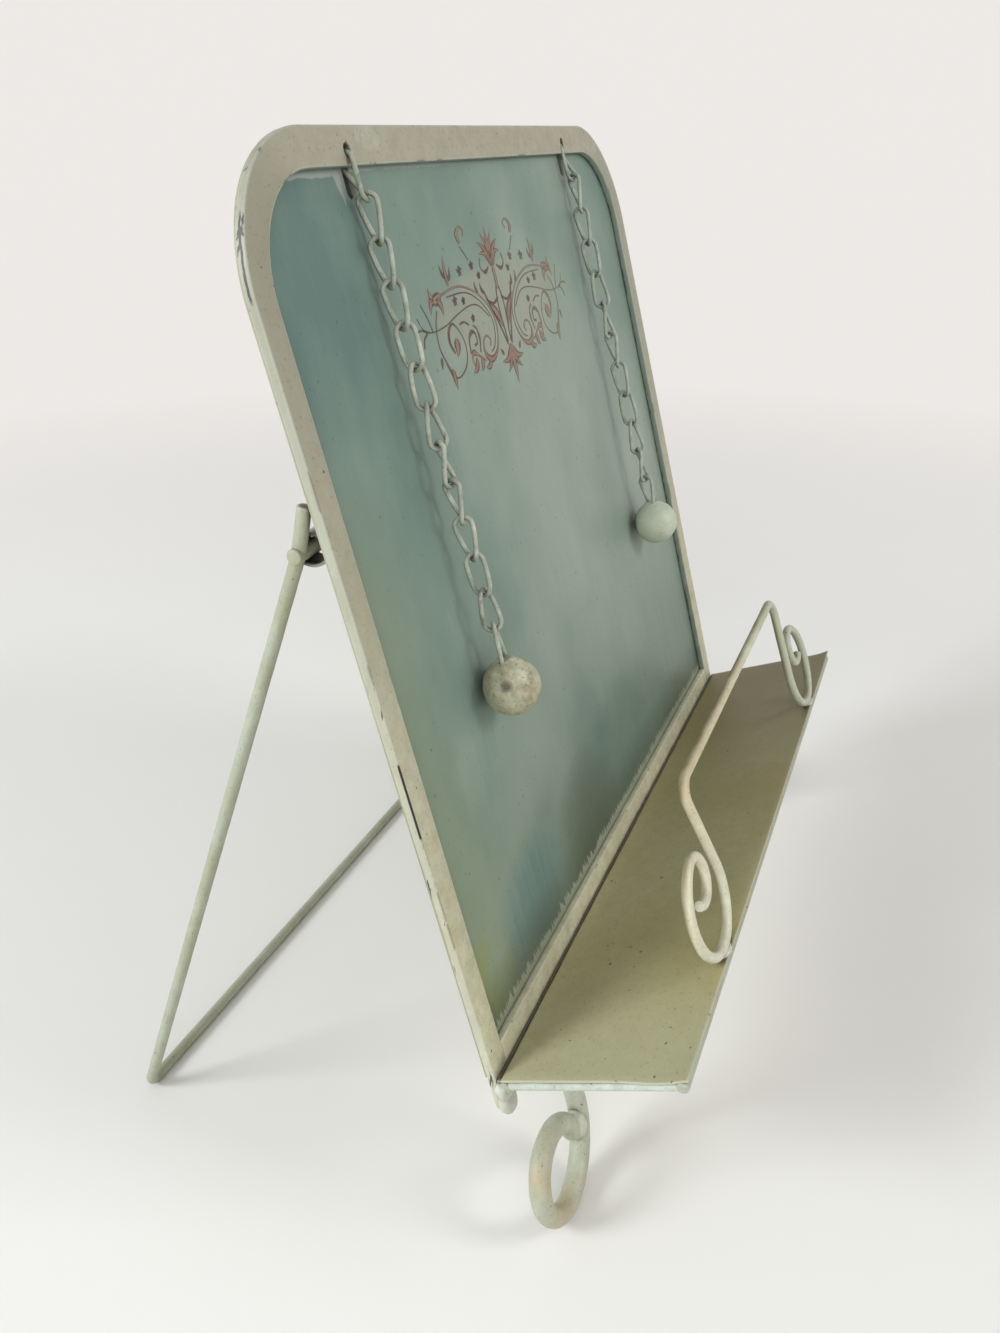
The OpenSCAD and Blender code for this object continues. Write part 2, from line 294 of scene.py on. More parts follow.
# a round rod along a path; ripple makes its skin uneven, inside the given radius
def tubeShape(path, radius, sides=16, closed=False, cap=rodCap, ripple=0.0):
    count = len(path)
    tangents = []
    for i in range(count):
        before = path[i - 1] if closed or i > 0 else path[0]
        after = path[(i + 1) % count] if closed or i < count - 1 else path[-1]
        tangents.append((after - before).normalized())
    normals = [tangents[0].orthogonal().normalized()]
    for i in range(1, count):
        turn = tangents[i - 1].rotation_difference(tangents[i])
        normals.append((turn @ normals[-1]).normalized())
    slip = 0.0  # what a closed rod's rings are turned by once they come round
    if closed:
        home = tangents[-1].rotation_difference(tangents[0]) @ normals[-1]
        slip = math.atan2(home.cross(normals[0]).dot(tangents[0]), home.dot(normals[0]))
    points, faces = [], []

    def ring(centre, tangent, normal, size):
        side = tangent.cross(normal)
        for k in range(sides):
            angle = 2 * math.pi * k / sides
            points.append(centre + (normal * math.cos(angle) + side * math.sin(angle)) * size)

    def endRing(i, outward, step):
        angle = math.pi / 2 * step / (capRings + 1)
        away = tangents[i] * outward * radius * cap * math.sin(angle)
        ring(path[i] + away, tangents[i], normals[i], radius * (1 - cap * (1 - math.cos(angle))))

    if not closed:
        for step in range(capRings, 0, -1):
            endRing(0, -1, step)
    for i in range(count):
        normal = Quaternion(tangents[i], slip * i / count) @ normals[i]
        lumps = noise.noise(path[i] * 160) + noise.noise(path[i] * 420)
        ring(path[i], tangents[i], normal, radius * (1 + ripple * (lumps - 1.3)))
    if not closed:
        for step in range(1, capRings + 1):
            endRing(-1, 1, step)
    rings = len(points) // sides
    for i in range(rings if closed else rings - 1):
        j = (i + 1) % rings
        for k in range(sides):
            m = (k + 1) % sides
            faces.append((i * sides + k, i * sides + m, j * sides + m, j * sides + k))
    if not closed:
        first, last, top = len(points), len(points) + 1, (rings - 1) * sides
        points.append(path[0] - tangents[0] * radius * cap)
        points.append(path[-1] + tangents[-1] * radius * cap)
        for k in range(sides):
            m = (k + 1) % sides
            faces += [(first, m, k), (last, top + k, top + m)]
    return points, faces


def tube(name, path, radius, **how):
    points, faces = tubeShape(path, radius, **how)
    return meshPiece(name, points, faces)


# flat outlines in millimetres: arcs, straight runs, and both joined end to end
def arc(cx, cy, r, start, stop, step=1.0):
    count = max(3, int(abs(math.radians(stop - start)) * r / step))
    angles = [math.radians(start + (stop - start) * i / count) for i in range(count + 1)]
    return [(cx + r * math.cos(a), cy + r * math.sin(a)) for a in angles]


def run(x0, y0, x1, y1, step=3.0):
    count = max(2, int(math.hypot(x1 - x0, y1 - y0) / step))
    return [(x0 + (x1 - x0) * i / count, y0 + (y1 - y0) * i / count) for i in range(count + 1)]


def gapOf(a, b):
    return math.hypot(b[0] - a[0], b[1] - a[1])


# 1 at no distance, fading away over the reach
def fadeOff(distance, reach):
    return math.exp(-(distance / reach) ** 2)


def joinRuns(*runs):
    joined = []
    for one in runs:
        for point in one:
            if not joined or gapOf(joined[-1], point) > 0.05:
                joined.append(point)
    return joined


# a flat plate cut from outlines, with softened corners; the outlines come already drawn in by the bevel
def plate(name, outlines, front, thick, bevel):
    curve = bpy.data.curves.new(name + "Outline", "CURVE")
    curve.dimensions = "2D"
    curve.fill_mode = "BOTH"
    curve.extrude = (thick / 2 - bevel) * mm
    curve.bevel_depth = bevel * mm
    curve.bevel_resolution = 2
    for outline in outlines:
        line = curve.splines.new("POLY")
        line.points.add(len(outline) - 1)
        for point, (x, y) in zip(line.points, outline):
            point.co = (x * mm, y * mm, 0, 1)
        line.use_cyclic_u = True
    drawing = newPiece(name + "Outline", curve)
    made = withModifiers(drawing)
    bpy.data.objects.remove(drawing)
    turn = Matrix((across, boardUp, boardOut)).transposed().to_4x4()
    made.transform(Matrix.Translation(onBoard(0, front - thick / 2, 0)) @ turn)
    made.name = name
    reshape(made, mergePoints)
    smoothFaces(made, 40)
    return newPiece(name, made)


# frame bar: one flat bar round the sides and the top, with round ends below the shelf
frameBar = dict(bevel=0.45, chainX=97, holeUp=292.8, hole=4.7, holeSoft=0.3)
# the darker tone at the top is a painted shade, and the paler tone low down a painted light
barTints = dict(upper=rgb(134, 133, 118), topBar=rgb(168, 164, 145), right=rgb(150, 155, 142),
                low=rgb(214, 212, 184), sandy=rgb(184, 172, 134), smear=rgb(190, 196, 188),
                lapped=rgb(128, 142, 132), seam=rgb(56, 70, 65), outer=rgb(172, 175, 160),
                chips=rgb(54, 52, 46), cornerChip=rgb(34, 30, 24))


def barOutline(bevel):
    half = halfWidth - bevel
    inner = halfWidth - stand["sideBar"] + bevel
    top = stand["height"] - bevel
    innerTop = stand["height"] - stand["topBar"] + bevel
    bend = stand["corner"] - bevel
    innerBend = stand["corner"] - stand["sideBar"] + bevel
    end = stand["sideBar"] / 2 - bevel
    endX = (half + inner) / 2
    low = stand["sideBar"] / 2 - stand["tail"]
    return joinRuns(arc(-endX, low, end, 360, 180, 0.5), arc(bend - half, top - bend, bend, 180, 90, 1.5),
                    arc(half - bend, top - bend, bend, 90, 0, 1.5), arc(endX, low, end, 360, 180, 0.5),
                    arc(inner - innerBend, innerTop - innerBend, innerBend, 0, 90, 1.5),
                    arc(innerBend - inner, innerTop - innerBend, innerBend, 90, 180, 1.5))


def chainHole(x):
    return arc(x, frameBar["holeUp"], frameBar["hole"] / 2 + frameBar["holeSoft"], 0, 345, 0.4)


# the bar: greyer to the top as a painted shade, greyer to the right, paler low down as a painted light, sandy low
# down, and a smear at the top left
def barGround(place, tint):
    look = barTints
    rise = place.along(boardUp)
    side = place.along(across)
    # painted shade: darker towards the top
    tint = mixTint(rise.remap(120.0, 270.0, 0.0, 0.85), tint, look["upper"])
    topBar = rise.remap(282.0, 290.0, 0.0, 0.75) * side.remap(-150.0, -125.0)
    tint = mixTint(topBar, tint, look["topBar"])
    tint = mixTint(side.remap(120.0, 158.0, 0.0, 0.6), tint, look["right"])
    # painted light: paler low down
    low = rise.remap(150.0, 20.0) * place.grain(45.0).remap(0.3, 0.6, 0.7, 1.0)
    tint = mixTint(low, tint, look["low"])
    sandy = place.grain(70.0, 5.0).remap(0.42, 0.66) * rise.remap(220.0, 120.0)
    tint = mixTint(sandy * 0.5, tint, look["sandy"])
    smear = oval(side, rise, -83.0, 296.5, 9.0, 4.0).remap(1.0, 0.3)
    smear = smear * place.grain(180.0).remap(0.4, 0.62)
    return mixTint(smear * 0.6, tint, look["smear"])


# what the bar adds: the sheet's blue-green on its inner edge, and chips down its outer ones
def barPaint():
    finish = agedPaint("barPaint", creamLook, barGround)
    tree = finish.node_tree
    shader = next(n for n in tree.nodes if n.type == "BSDF_PRINCIPLED")
    tint = Wire(tree, shader.inputs["Base Color"].links[0].from_socket)
    place = pieceCoords(tree)
    facing = facingOf(tree)
    rise = place.along(boardUp)
    side = place.along(across)
    depth = place.along(boardOut)
    middle = tuple(onBoard(0, 0, stand["height"] / 2))
    inward = newWire(tree, "ShaderNodeVectorMath", {0: middle, 1: place}, operation="SUBTRACT").dot(facing)
    # blue-green lapped onto the inner edge, with a dark seam at its foot
    edgeOn = abs(facing.dot(tuple(boardOut))).remap(0.75, 0.45)
    lapped = edgeOn * inward.remap(0.0, 0.02) * rise.remap(289.6, 289.2)
    flaked = place.grain(170.0, 5.0).remap(0.34, 0.5, 0.3, 0.85)
    tint = mixTint(lapped * flaked, tint, barTints["lapped"])
    seam = depth + place.grain(240.0, 4.0) * -2.2
    tint = mixTint(lapped * seam.remap(-3.5, -3.7, 0.0, 0.85), tint, barTints["seam"])
    # mottling and long chips down the outer edges, with one long chip at the top left corner
    outer = abs(facing.dot(tuple(across))).remap(0.5, 0.75) * inward.remap(0.0, -0.02)
    drawn = place.vectors("MULTIPLY", (1.0, 1.0, 0.16))
    cloudy = drawn.grain(110.0, 5.0).remap(0.35, 0.65, 0.2, 0.75)
    tint = mixTint(outer * cloudy, tint, barTints["outer"])
    chips = drawn.grain(330.0, 4.0, 0.6).remap(0.645, 0.665)
    longChip = abs(depth + place.grain(300.0) + 0.9).remap(0.5, 0.35)
    longChip = longChip * (abs(rise - 268.0).remap(12.0, 10.0) * outer)
    tint = mixTint(longChip.larger(chips * outer) * 0.9, tint, barTints["chips"])
    # a long thin chip on the left front corner
    corner = side.remap(-165.35, -165.5) * depth.remap(-0.6, -0.45)
    tint = mixTint(corner * abs(rise - 108.0).remap(13.5, 12.5), tint, barTints["cornerChip"])
    feed(shader, "Base Color", tint)
    return finish


chainXs = [side * frameBar["chainX"] for side, name in bothSides]
barOutlines = [barOutline(frameBar["bevel"])] + [chainHole(x) for x in chainXs]
bar = plate("frameBar", barOutlines, 0, stand["barThick"], frameBar["bevel"])
dress(bar, barPaint(), "stand", "cream_paint", "frame_bar")

# bottom rail, butted between the sides of the frame bar
rail = dict(bevel=0.35, low=-2.2, creviceReach=0.002)
railEnd = halfWidth - stand["sideBar"] - stand["weldGap"] - rail["bevel"]
railLow = rail["low"] + rail["bevel"]
railHigh = stand["railHigh"] - rail["bevel"]
railOutline = joinRuns(run(-railEnd, railLow, railEnd, railLow, 12),
                       run(railEnd, railHigh, -railEnd, railHigh, 12))
railBar = plate("bottomRail", [railOutline], 0, stand["barThick"], rail["bevel"])
railPaint = agedPaint("railPaint", dict(creamLook, creviceReach=rail["creviceReach"]), barGround)
dress(railBar, railPaint, "stand", "cream_paint", "bottom_rail")

# back sheet, with a narrow slot behind each first link
sheet = dict(inset=0.5, bevel=0.1, low=0.7, slotLow=279.4, slotHigh=295.5, slotWide=4.3, slotShift=0.35)

# the sheet's paint; each tone row holds a share, then where it grows up the board and across it
sheetLook = dict(deep=rgb(84, 112, 105), middle=rgb(122, 141, 128), pale=rgb(158, 169, 156),
                 grimeAndShade=rgb(62, 76, 70), bare=rgb(160, 168, 162), bristle=rgb(164, 170, 146),
                 print=rgb(150, 149, 132), olive=rgb(136, 145, 108), green=rgb(106, 130, 112),
                 back=rgb(166, 164, 142), backDark=rgb(146, 143, 120),
                 stain=rgb(142, 148, 66), stainX=-148, stainUp=16, stainReach=23,
                 blue=rgb(92, 128, 130), blueX=-100, blueUp=30,
                 # dirt with a painted shade along the rail
                 dirtAndShade=rgb(74, 84, 68), dirtAndShadeX=-38, dirtAndShadeUp=22,
                 tones=((-0.18, 200.0, 262.0, -84.0, -114.0), (0.4, 290.0, 20.0, 0.0, -150.0),
                        (-0.02, 110.0, 20.0, -110.0, 0.0), (-0.16, 150.0, 260.0, 40.0, 90.0)))


def sheetTone(side, rise, patch, streak):
    # lighter towards the right, partly a painted sheen
    tone = side.remap(-160.0, 150.0) * 0.45 + patch * 0.75 + streak * 0.2 + 0.13
    for share, riseFrom, riseTo, sideFrom, sideTo in sheetLook["tones"]:
        tone = tone + rise.remap(riseFrom, riseTo) * side.remap(sideFrom, sideTo) * share
    # a paler band below the middle, a darker stretch on the left that is partly a painted chain shadow, and a
    # paler middle
    tone = tone + abs(rise - 105.0).remap(55.0, 10.0) * side.remap(-100.0, -65.0) * 0.13
    tone = tone - abs(rise - 155.0).remap(55.0, 20.0) * side.remap(-105.0, -125.0) * 0.2
    return tone + oval(side, rise, 10.0, 185.0, 95.0, 80.0).remap(1.0, 0.0, 0.0, 0.22)


# stains, clouds and dirt, each in its own area of the sheet
def sheetStains(place, side, rise, patch, streak, tint):
    look = sheetLook
    # a warmer ground under the ornament, and a warmer tone down the left edge
    ground = oval(side, rise, -4.0, 234.0, 62.0, 19.0).remap(1.1, 0.7)
    tint = mixTint(ground * place.grain(60.0).remap(0.3, 0.7, 0.3, 0.7), tint, look["print"])
    warm = side.remap(-112.0, -150.0, 0.0, 0.38) * rise.remap(215.0, 170.0)
    tint = mixTint(warm, tint, look["olive"])
    # a yellowed stain low on the left
    reach = look["stainReach"]
    stain = oval(side, rise, look["stainX"], look["stainUp"], reach, reach * 1.3).remap(1.0, 0.1)
    tint = mixTint(stain * place.grain(90.0).remap(0.35, 0.7) * 0.9, tint, look["stain"])
    # a greener cloud low on the right, and a bluer patch beside the stain
    green = side.remap(0.0, 120.0) * rise.remap(160.0, 60.0) * patch.remap(0.3, 0.6, 0.25, 0.6)
    tint = mixTint(green, tint, look["green"])
    blue = oval(side, rise, look["blueX"], look["blueUp"], 34.0, 24.0).remap(1.0, 0.2)
    tint = mixTint(blue * streak.remap(0.3, 0.7, 0.2, 0.8), tint, look["blue"])
    # paint missed in a thin line under the top bar and in a wedge beside the left chain
    ragged = (place.grain(160.0, 4.0) - 0.5) * 2.4
    lineEnd = side.remap(-99.0, -95.0, 286.2, 287.2)
    topBare = (rise + ragged - lineEnd).remap(0.0, 0.5) * side.remap(10.0, -60.0)
    wedge = rise.remap(268.0, 288.0, 0.0, 8.0) + ragged - abs(side + 101.5)
    tint = mixTint(topBare.larger(wedge.remap(3.4, 4.4)) * 0.8, tint, look["bare"])
    # dirt and painted shade along the rail, deepest left of the middle
    dirtAndShade = oval(side, rise, look["dirtAndShadeX"], look["dirtAndShadeUp"], 34.0, 32.0)
    tint = mixTint(dirtAndShade.remap(1.2, 0.1, 0.0, 0.65), tint, look["dirtAndShade"])
    tint = mixTint(rise.remap(30.0, 10.0, 0.0, 0.75), tint, look["dirtAndShade"])
    # bristly brush ends just above the rail
    bristle = onSheet(side, rise, 1.1, 0.05).grain(1.0, 3.0) * 13.0 - rise
    return mixTint(bristle.remap(-5.2, -4.6) * 0.8, tint, look["bristle"])


def brushedTeal(look):
    finish, tree, shader = newFinish("tealPaint")
    place = pieceCoords(tree)
    side = place.along(across)
    rise = place.along(boardUp)
    # long brush streaks up the board, over broad cloudy patches
    streak = onSheet(side, rise, 0.55, 0.012).grain(1.0, 6.0, 0.7)
    patch = onSheet(side, rise, 0.017, 0.011).grain(1.0, 3.0, 0.5)
    tone = sheetTone(side, rise, patch, streak)
    tint = mixTint(tone.remap(0.58, 0.92), look["deep"], look["middle"])
    tint = mixTint(tone.remap(0.86, 1.28), tint, look["pale"])
    blotch = onSheet(side, rise, 0.05, 0.022).grain(1.0, 4.0, 0.6)
    tint = mixTint(blotch.remap(0.42, 0.7, 0.0, 0.4), tint, look["middle"])
    tint = sheetStains(place, side, rise, patch, streak, tint)
    # specks, grime and painted shade along the frame, and plain paint on the back
    speck = place.grain(520.0, 2.0).remap(0.70, 0.73)
    tint = mixTint(speck * 0.55, tint, look["grimeAndShade"])
    # painted shade with grime, where the sheet meets the frame
    tint = mixTint(creviceShade(tree, 0.012) * patch.remap(0.2, 0.7, 0.2, 0.6), tint, look["grimeAndShade"])
    back = mixTint(place.grain(26.0, 5.0).remap(0.35, 0.65), look["back"], look["backDark"])
    back = mixTint(speck * 0.5, back, look["grimeAndShade"])
    tint = mixTint(facingOf(tree).dot(tuple(boardOut)).remap(0.8, 0.5), tint, back)
    feed(shader, "Base Color", tint)
    feed(shader, "Roughness", streak.remap(0.3, 0.7, 0.40, 0.56))
    setBump(shader, streak * 0.7 + place.grain(500.0) * 0.4, 0.25, 0.0003)
    return finish


def sheetOutline():
    half = halfWidth - sheet["inset"] - sheet["bevel"]
    top = stand["height"] - sheet["inset"] - sheet["bevel"]
    bend = stand["corner"] - sheet["inset"] - sheet["bevel"]
    low = sheet["low"] + sheet["bevel"]
    return joinRuns([(-half, low)], arc(bend - half, top - bend, bend, 180, 90, 1.5),
                    arc(half - bend, top - bend, bend, 90, 0, 1.5), [(half, low)])


def slotOutline(x):
    half = sheet["slotWide"] / 2 + sheet["bevel"]
    middle = x + sheet["slotShift"]
    top = sheet["slotHigh"]
    roundFoot = arc(middle, sheet["slotLow"] + half, half, 180, 360, 0.4)
    return roundFoot + [(middle + half, top), (middle - half, top)]


sheetOutlines = [sheetOutline()] + [slotOutline(x) for x in chainXs]
backSheet = plate("backSheet", sheetOutlines, -stand["barThick"], stand["sheetThick"], sheet["bevel"])
dress(backSheet, brushedTeal(sheetLook), "stand", "teal_paint", "back_sheet")

# shallow pressed pockets behind the slots, painted dark inside as shade
pocket = dict(inset=0.45, skin=0.5, deep=2.4, shade=rgb(92, 97, 94), creviceReach=0.008)


def slotPockets():
    points, faces = [], []
    back = -(stand["barThick"] + stand["sheetThick"])
    half = sheet["slotWide"] / 2 + pocket["inset"]
    low = sheet["slotLow"] - pocket["inset"]
    high = sheet["slotHigh"] + pocket["inset"]
    deep, skin = pocket["deep"], pocket["skin"]
    for chainX in chainXs:
        x = chainX + sheet["slotShift"]
        inner = len(points)
        innerFloor, outer, outerFloor = inner + 4, inner + 8, inner + 12
        for grow, down in ((0, 0), (0, deep), (skin, 0), (skin, deep + skin)):
            for dx, up in ((-1, low - grow), (1, low - grow), (1, high + grow), (-1, high + grow)):
                points.append(onBoard(x + dx * (half + grow), back - down, up))
        for k in range(4):
            m = (k + 1) % 4
            faces += [(inner + k, inner + m, innerFloor + m, innerFloor + k),
                      (outer + m, outer + k, outerFloor + k, outerFloor + m),
                      (inner + m, inner + k, outer + k, outer + m)]
        faces += [tuple(innerFloor + k for k in range(4)), tuple(outerFloor + k for k in (3, 2, 1, 0))]
    piece = meshPiece("slotPockets", points, faces, smooth=False)
    reshape(piece.data, turnOutward)
    # the pocket's inside takes the dark shade colour where it is occluded: a painted shade
    look = dict(creamLook, grimeAndShade=pocket["shade"], creviceReach=pocket["creviceReach"], creviceShare=1.0)
    dress(piece, agedPaint("pocketPaint", look), "stand", "teal_paint")


slotPockets()
print("board made")

# shelf plate: thin sheet iron, with a dent in its left end and lifted front corners
shelf = dict(depth=69, back=0.4, thick=1, sunk=0.12, thinner=0.14, edge=0.22, columns=96, rows=28,
             waves=0.12, wavesFrom=20, dentAt=58, dentDepth=0.9, dentReach=9, dentInto=26,
             lift=0.35, leftFrom=62, leftInto=12, rightFrom=61, rightInto=9, rightShare=3.2)
# the darker, browner far end is a painted shade, the paler near end a painted light, and the seam colour a painted
# shade
shelfLook = dict(creamLook, light=rgb(177, 171, 134), dark=rgb(167, 155, 106), stain=rgb(151, 139, 95),
                 mottle=0.3, broad=9.0, creviceReach=0.0025, chipFrom=0.66,
                 farEnd=rgb(116, 108, 72), nearEndLight=rgb(166, 168, 144), seam=rgb(22, 18, 14))


def shelfGround(place, tint):
    side = place.along(across)
    # painted shade, darker and browner towards the far end, and painted light, paler at the near end
    tint = mixTint(side.remap(-40.0, 150.0, 0.0, 0.9), tint, shelfLook["farEnd"])
    tint = mixTint(side.remap(-100.0, -160.0, 0.0, 0.6), tint, shelfLook["nearEndLight"])
    # painted shade: the dark line in the open seam along the rail
    seam = place.along(shelfOut) - place.grain(70.0, 3.0) * 1.1
    return mixTint(seam.remap(1.4, 1.2), tint, shelfLook["seam"])


def shelfRise(x, out):
    fromLeft, fromRight = halfWidth + x, halfWidth - x
    leftTip = max(0.0, (out - shelf["leftFrom"]) / (shelf["depth"] - shelf["leftFrom"]))
    rightTip = max(0.0, (out - shelf["rightFrom"]) / (shelf["depth"] - shelf["rightFrom"]))
    tip = leftTip * fadeOff(fromLeft, shelf["leftInto"])
    tip += shelf["rightShare"] * rightTip ** 2 * fadeOff(fromRight, shelf["rightInto"])
    dent = fadeOff(out - shelf["dentAt"], shelf["dentReach"]) * fadeOff(fromLeft, shelf["dentInto"])
    waves = shelf["waves"] * noise.noise(Vector((x * 0.012, out * 0.03, 0.4)))
    waves = waves * min(1, out / shelf["wavesFrom"])
    return waves - shelf["dentDepth"] * dent + shelf["lift"] * tip


def shelfPiece():
    columns, rows = shelf["columns"], shelf["rows"]
    wide = columns + 1
    points = []
    for j in range(rows + 1):
        out = shelf["back"] + (shelf["depth"] - shelf["back"]) * j / rows
        for i in range(wide):
            x = -halfWidth + stand["width"] * i / columns
            points.append(onShelf(x, out, shelfRise(x, out) - shelf["sunk"]))
    faces = [(j * wide + i, j * wide + i + 1, (j + 1) * wide + i + 1, (j + 1) * wide + i)
             for j in range(rows) for i in range(columns)]
    piece = meshPiece("shelfPlate", points, faces)
    if piece.data.polygons[0].normal.dot(shelfUp) < 0:
        piece.data.flip_normals()
    thick = piece.modifiers.new("thick", "SOLIDIFY")
    thick.thickness = (shelf["thick"] - shelf["thinner"]) * mm
    thick.offset = -1
    soft = piece.modifiers.new("soft", "BEVEL")
    soft.width = shelf["edge"] * mm
    soft.segments = 2
    soft.limit_method = "ANGLE"
    applied = withModifiers(piece)
    piece.modifiers.clear()
    piece.data = applied
    smoothFaces(applied, 35)
    return piece


shelfPaint = agedPaint("shelfPaint", shelfLook, shelfGround)
dress(shelfPiece(), shelfPaint, "stand", "cream_paint", "shelf_plate")

# shelf rods, along the middle of their solids
rods = dict(rear=2.5, edge=2.25, pivot=2.5, ripple=0.02, frontBack=0.6, endFrom=3.5, endTo=66.0)
# the end rods' paler paint is a painted light from the side
endRodPaintedLightLook = dict(rodLook, light=rgb(203, 213, 207), dark=rgb(190, 198, 188))


def straightRod(name, node, start, stop, radius, body="stand", finish=rodPaint):
    count = max(4, int((stop - start).length / (4 * mm)))
    path = [start.lerp(stop, i / count) for i in range(count + 1)]
    dress(tube(name, path, radius * mm, ripple=rods["ripple"]), finish, body, "rod_paint", node)


def rodAlongX(name, node, radius, body="stand", back=0.0):
    low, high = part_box(node)
    middle = (low + high) / 2 - shelfOut * back * mm
    inset = radius * rodCap * mm
    start = Vector((low.x + inset, middle.y, middle.z))
    stop = Vector((high.x - inset, middle.y, middle.z))
    straightRod(name, node, start, stop, radius, body)


rodAlongX("shelfRearRod", "shelf_rear_rod", rods["rear"])
rodAlongX("shelfFrontRod", "shelf_front_rod", rods["edge"], back=rods["frontBack"])
# painted light: the end rods get the paler copy of the rod paint
endRodPaintedLight = agedPaint("endRodPaintedLight", endRodPaintedLightLook)
for side, name in bothSides:
    x = side * (halfWidth - rods["edge"])
    low = -(shelf["thick"] + stand["weldGap"] + rods["edge"])
    start, stop = onShelf(x, rods["endFrom"], low), onShelf(x, rods["endTo"], low)
    straightRod(name + "ShelfRod", "shelf_" + name + "_rod", start, stop, rods["edge"], finish=endRodPaintedLight)
print("shelf made")

# page holder: bar, bends, slanted strands, scrolls and inner curls, in the plane square to the shelf
holder = dict(wire=4, barHigh=62, barX=83, bend=7, scrollX=102, scroll=19, scrollTurn=270, curl=8.5,
              curlSweep=230, out=67, step=2.5, ripple=0.02, cap=0.25)
# the holder's paint is paler than the other rods, partly a painted light
holderLook = dict(rodLook, light=rgb(222, 221, 199), dark=rgb(208, 201, 168), stain=rgb(176, 164, 128),
                  scrolls=rgb(206, 211, 196), bar=rgb(184, 164, 122), farEnd=rgb(166, 178, 162),
                  dirtAndShade=rgb(118, 98, 64))


# whiter scrolls, partly a painted light, a browner bar, a bluer far end, and dirt along the upper rear of the wire
def holderGround(place, tint):
    side = place.along(across)
    rise = place.along(shelfUp)
    # partly painted light: whiter low down on the scrolls
    tint = mixTint(rise.remap(45.0, 25.0, 0.0, 0.5), tint, holderLook["scrolls"])
    browned = rise.remap(40.0, 58.0) * side.remap(30.0, -60.0, 0.0, 0.6)
    tint = mixTint(browned, tint, holderLook["bar"])
    tint = mixTint(side.remap(-20.0, 90.0, 0.0, 0.75), tint, holderLook["farEnd"])
    upperRear = facingOf(place.tree).dot(tuple(shelfUp * 0.7 - shelfOut * 0.7)).remap(0.0, 0.6)
    patchy = place.grain(60.0, 5.0).remap(0.3, 0.55, 0.25, 0.8)
    return mixTint(upperRear * patchy, tint, holderLook["dirtAndShade"])


def holderHalf():
    scrollHigh = holder["wire"] / 2 + stand["weldGap"] + holder["scroll"]
    bendHigh = holder["barHigh"] - holder["bend"]
    dx = holder["barX"] - holder["scrollX"]
    dh = bendHigh - scrollHigh
    both = holder["scroll"] + holder["bend"]
    tilt = 180 - math.degrees(math.atan2(dh, dx)) - math.degrees(math.acos(both / math.hypot(dx, dh)))
    turnIn = 180 - tilt
    curlAt = turnIn - 90
    inward = holder["scroll"] - holder["curl"]
    curlX = holder["scrollX"] + inward * math.cos(math.radians(curlAt))
    curlHigh = scrollHigh + inward * math.sin(math.radians(curlAt))
    scrollEnd = turnIn + holder["scrollTurn"]
    return joinRuns(run(0, holder["barHigh"], holder["barX"], holder["barHigh"]),
                    arc(holder["barX"], bendHigh, holder["bend"], 90, -tilt),
                    arc(holder["scrollX"], scrollHigh, holder["scroll"], turnIn, scrollEnd),
                    arc(curlX, curlHigh, holder["curl"], curlAt, curlAt + holder["curlSweep"], 0.7))


def evenSteps(points, step):
    spaced = [points[0]]
    for a, b in zip(points, points[1:]):
        count = max(1, int(gapOf(a, b) / step))
        for i in range(1, count + 1):
            spaced.append((a[0] + (b[0] - a[0]) * i / count, a[1] + (b[1] - a[1]) * i / count))
    return spaced


rightHalf = evenSteps(holderHalf(), holder["step"])
holderLine = [(-x, h) for x, h in reversed(rightHalf)] + rightHalf[1:]
holderPath = [onShelf(x, holder["out"], h) for x, h in holderLine]
holderWire = tube("pageHolder", holderPath, holder["wire"] / 2 * mm, ripple=holder["ripple"],
                  cap=holder["cap"])
holderPaint = agedPaint("holderPaint", holderLook, holderGround)
dress(holderWire, holderPaint, "stand", "rod_paint", "page_holder")

# feet: thick scrolled rods that hang from the shelf's rear rod, with slightly flattened loops
foot = dict(rod=8, x=151, loop=16.5, loopHigh=14.6, sweep=26, lean=17.5, turn=260, top=2.4, sides=20,
            cap=0.6, ripple=0.015)
footLook = dict(rodLook, light=rgb(184, 192, 178), dark=rgb(170, 174, 156), rust=rgb(178, 156, 120))


def footGround(place, tint):
    return mixTint(place.grain(38.0, 4.0).remap(0.46, 0.62, 0.0, 0.65), tint, footLook["rust"])


# a direction turned back from the upright by some degrees
def turnedBack(degrees):
    return Vector((0, math.sin(math.radians(degrees)), math.cos(math.radians(degrees))))


rearLow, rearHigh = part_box("shelf_rear_rod")
footTop = Vector((0, (rearLow.y + rearHigh.y) / 2, (rearLow.z + rearHigh.z) / 2))
footUp = turnedBack(foot["lean"])
footLow = -(footTop.z / mm - foot["rod"] / 2) / footUp.z
stemX = foot["x"] - foot["sweep"]
flatter = foot["loopHigh"] / foot["loop"]
footLoop = arc(foot["x"], footLow + foot["loop"], foot["loop"], -90, foot["turn"] - 90)
footLine = joinRuns(run(stemX, -foot["top"], stemX, footLow + foot["sweep"]),
                    arc(foot["x"], footLow + foot["sweep"], foot["sweep"], 180, 270),
                    [(x, footLow + (up - footLow) * flatter) for x, up in footLoop])
footPaint = agedPaint("footPaint", footLook, footGround)
for side, name in bothSides:
    path = [footTop + across * side * x * mm + footUp * up * mm for x, up in footLine]
    rod = tube(name + "Foot", path, foot["rod"] / 2 * mm, sides=foot["sides"], cap=foot["cap"],
               ripple=foot["ripple"])
    dress(rod, footPaint, "stand", "rod_paint", name + "_foot")
print("page holder and feet made")

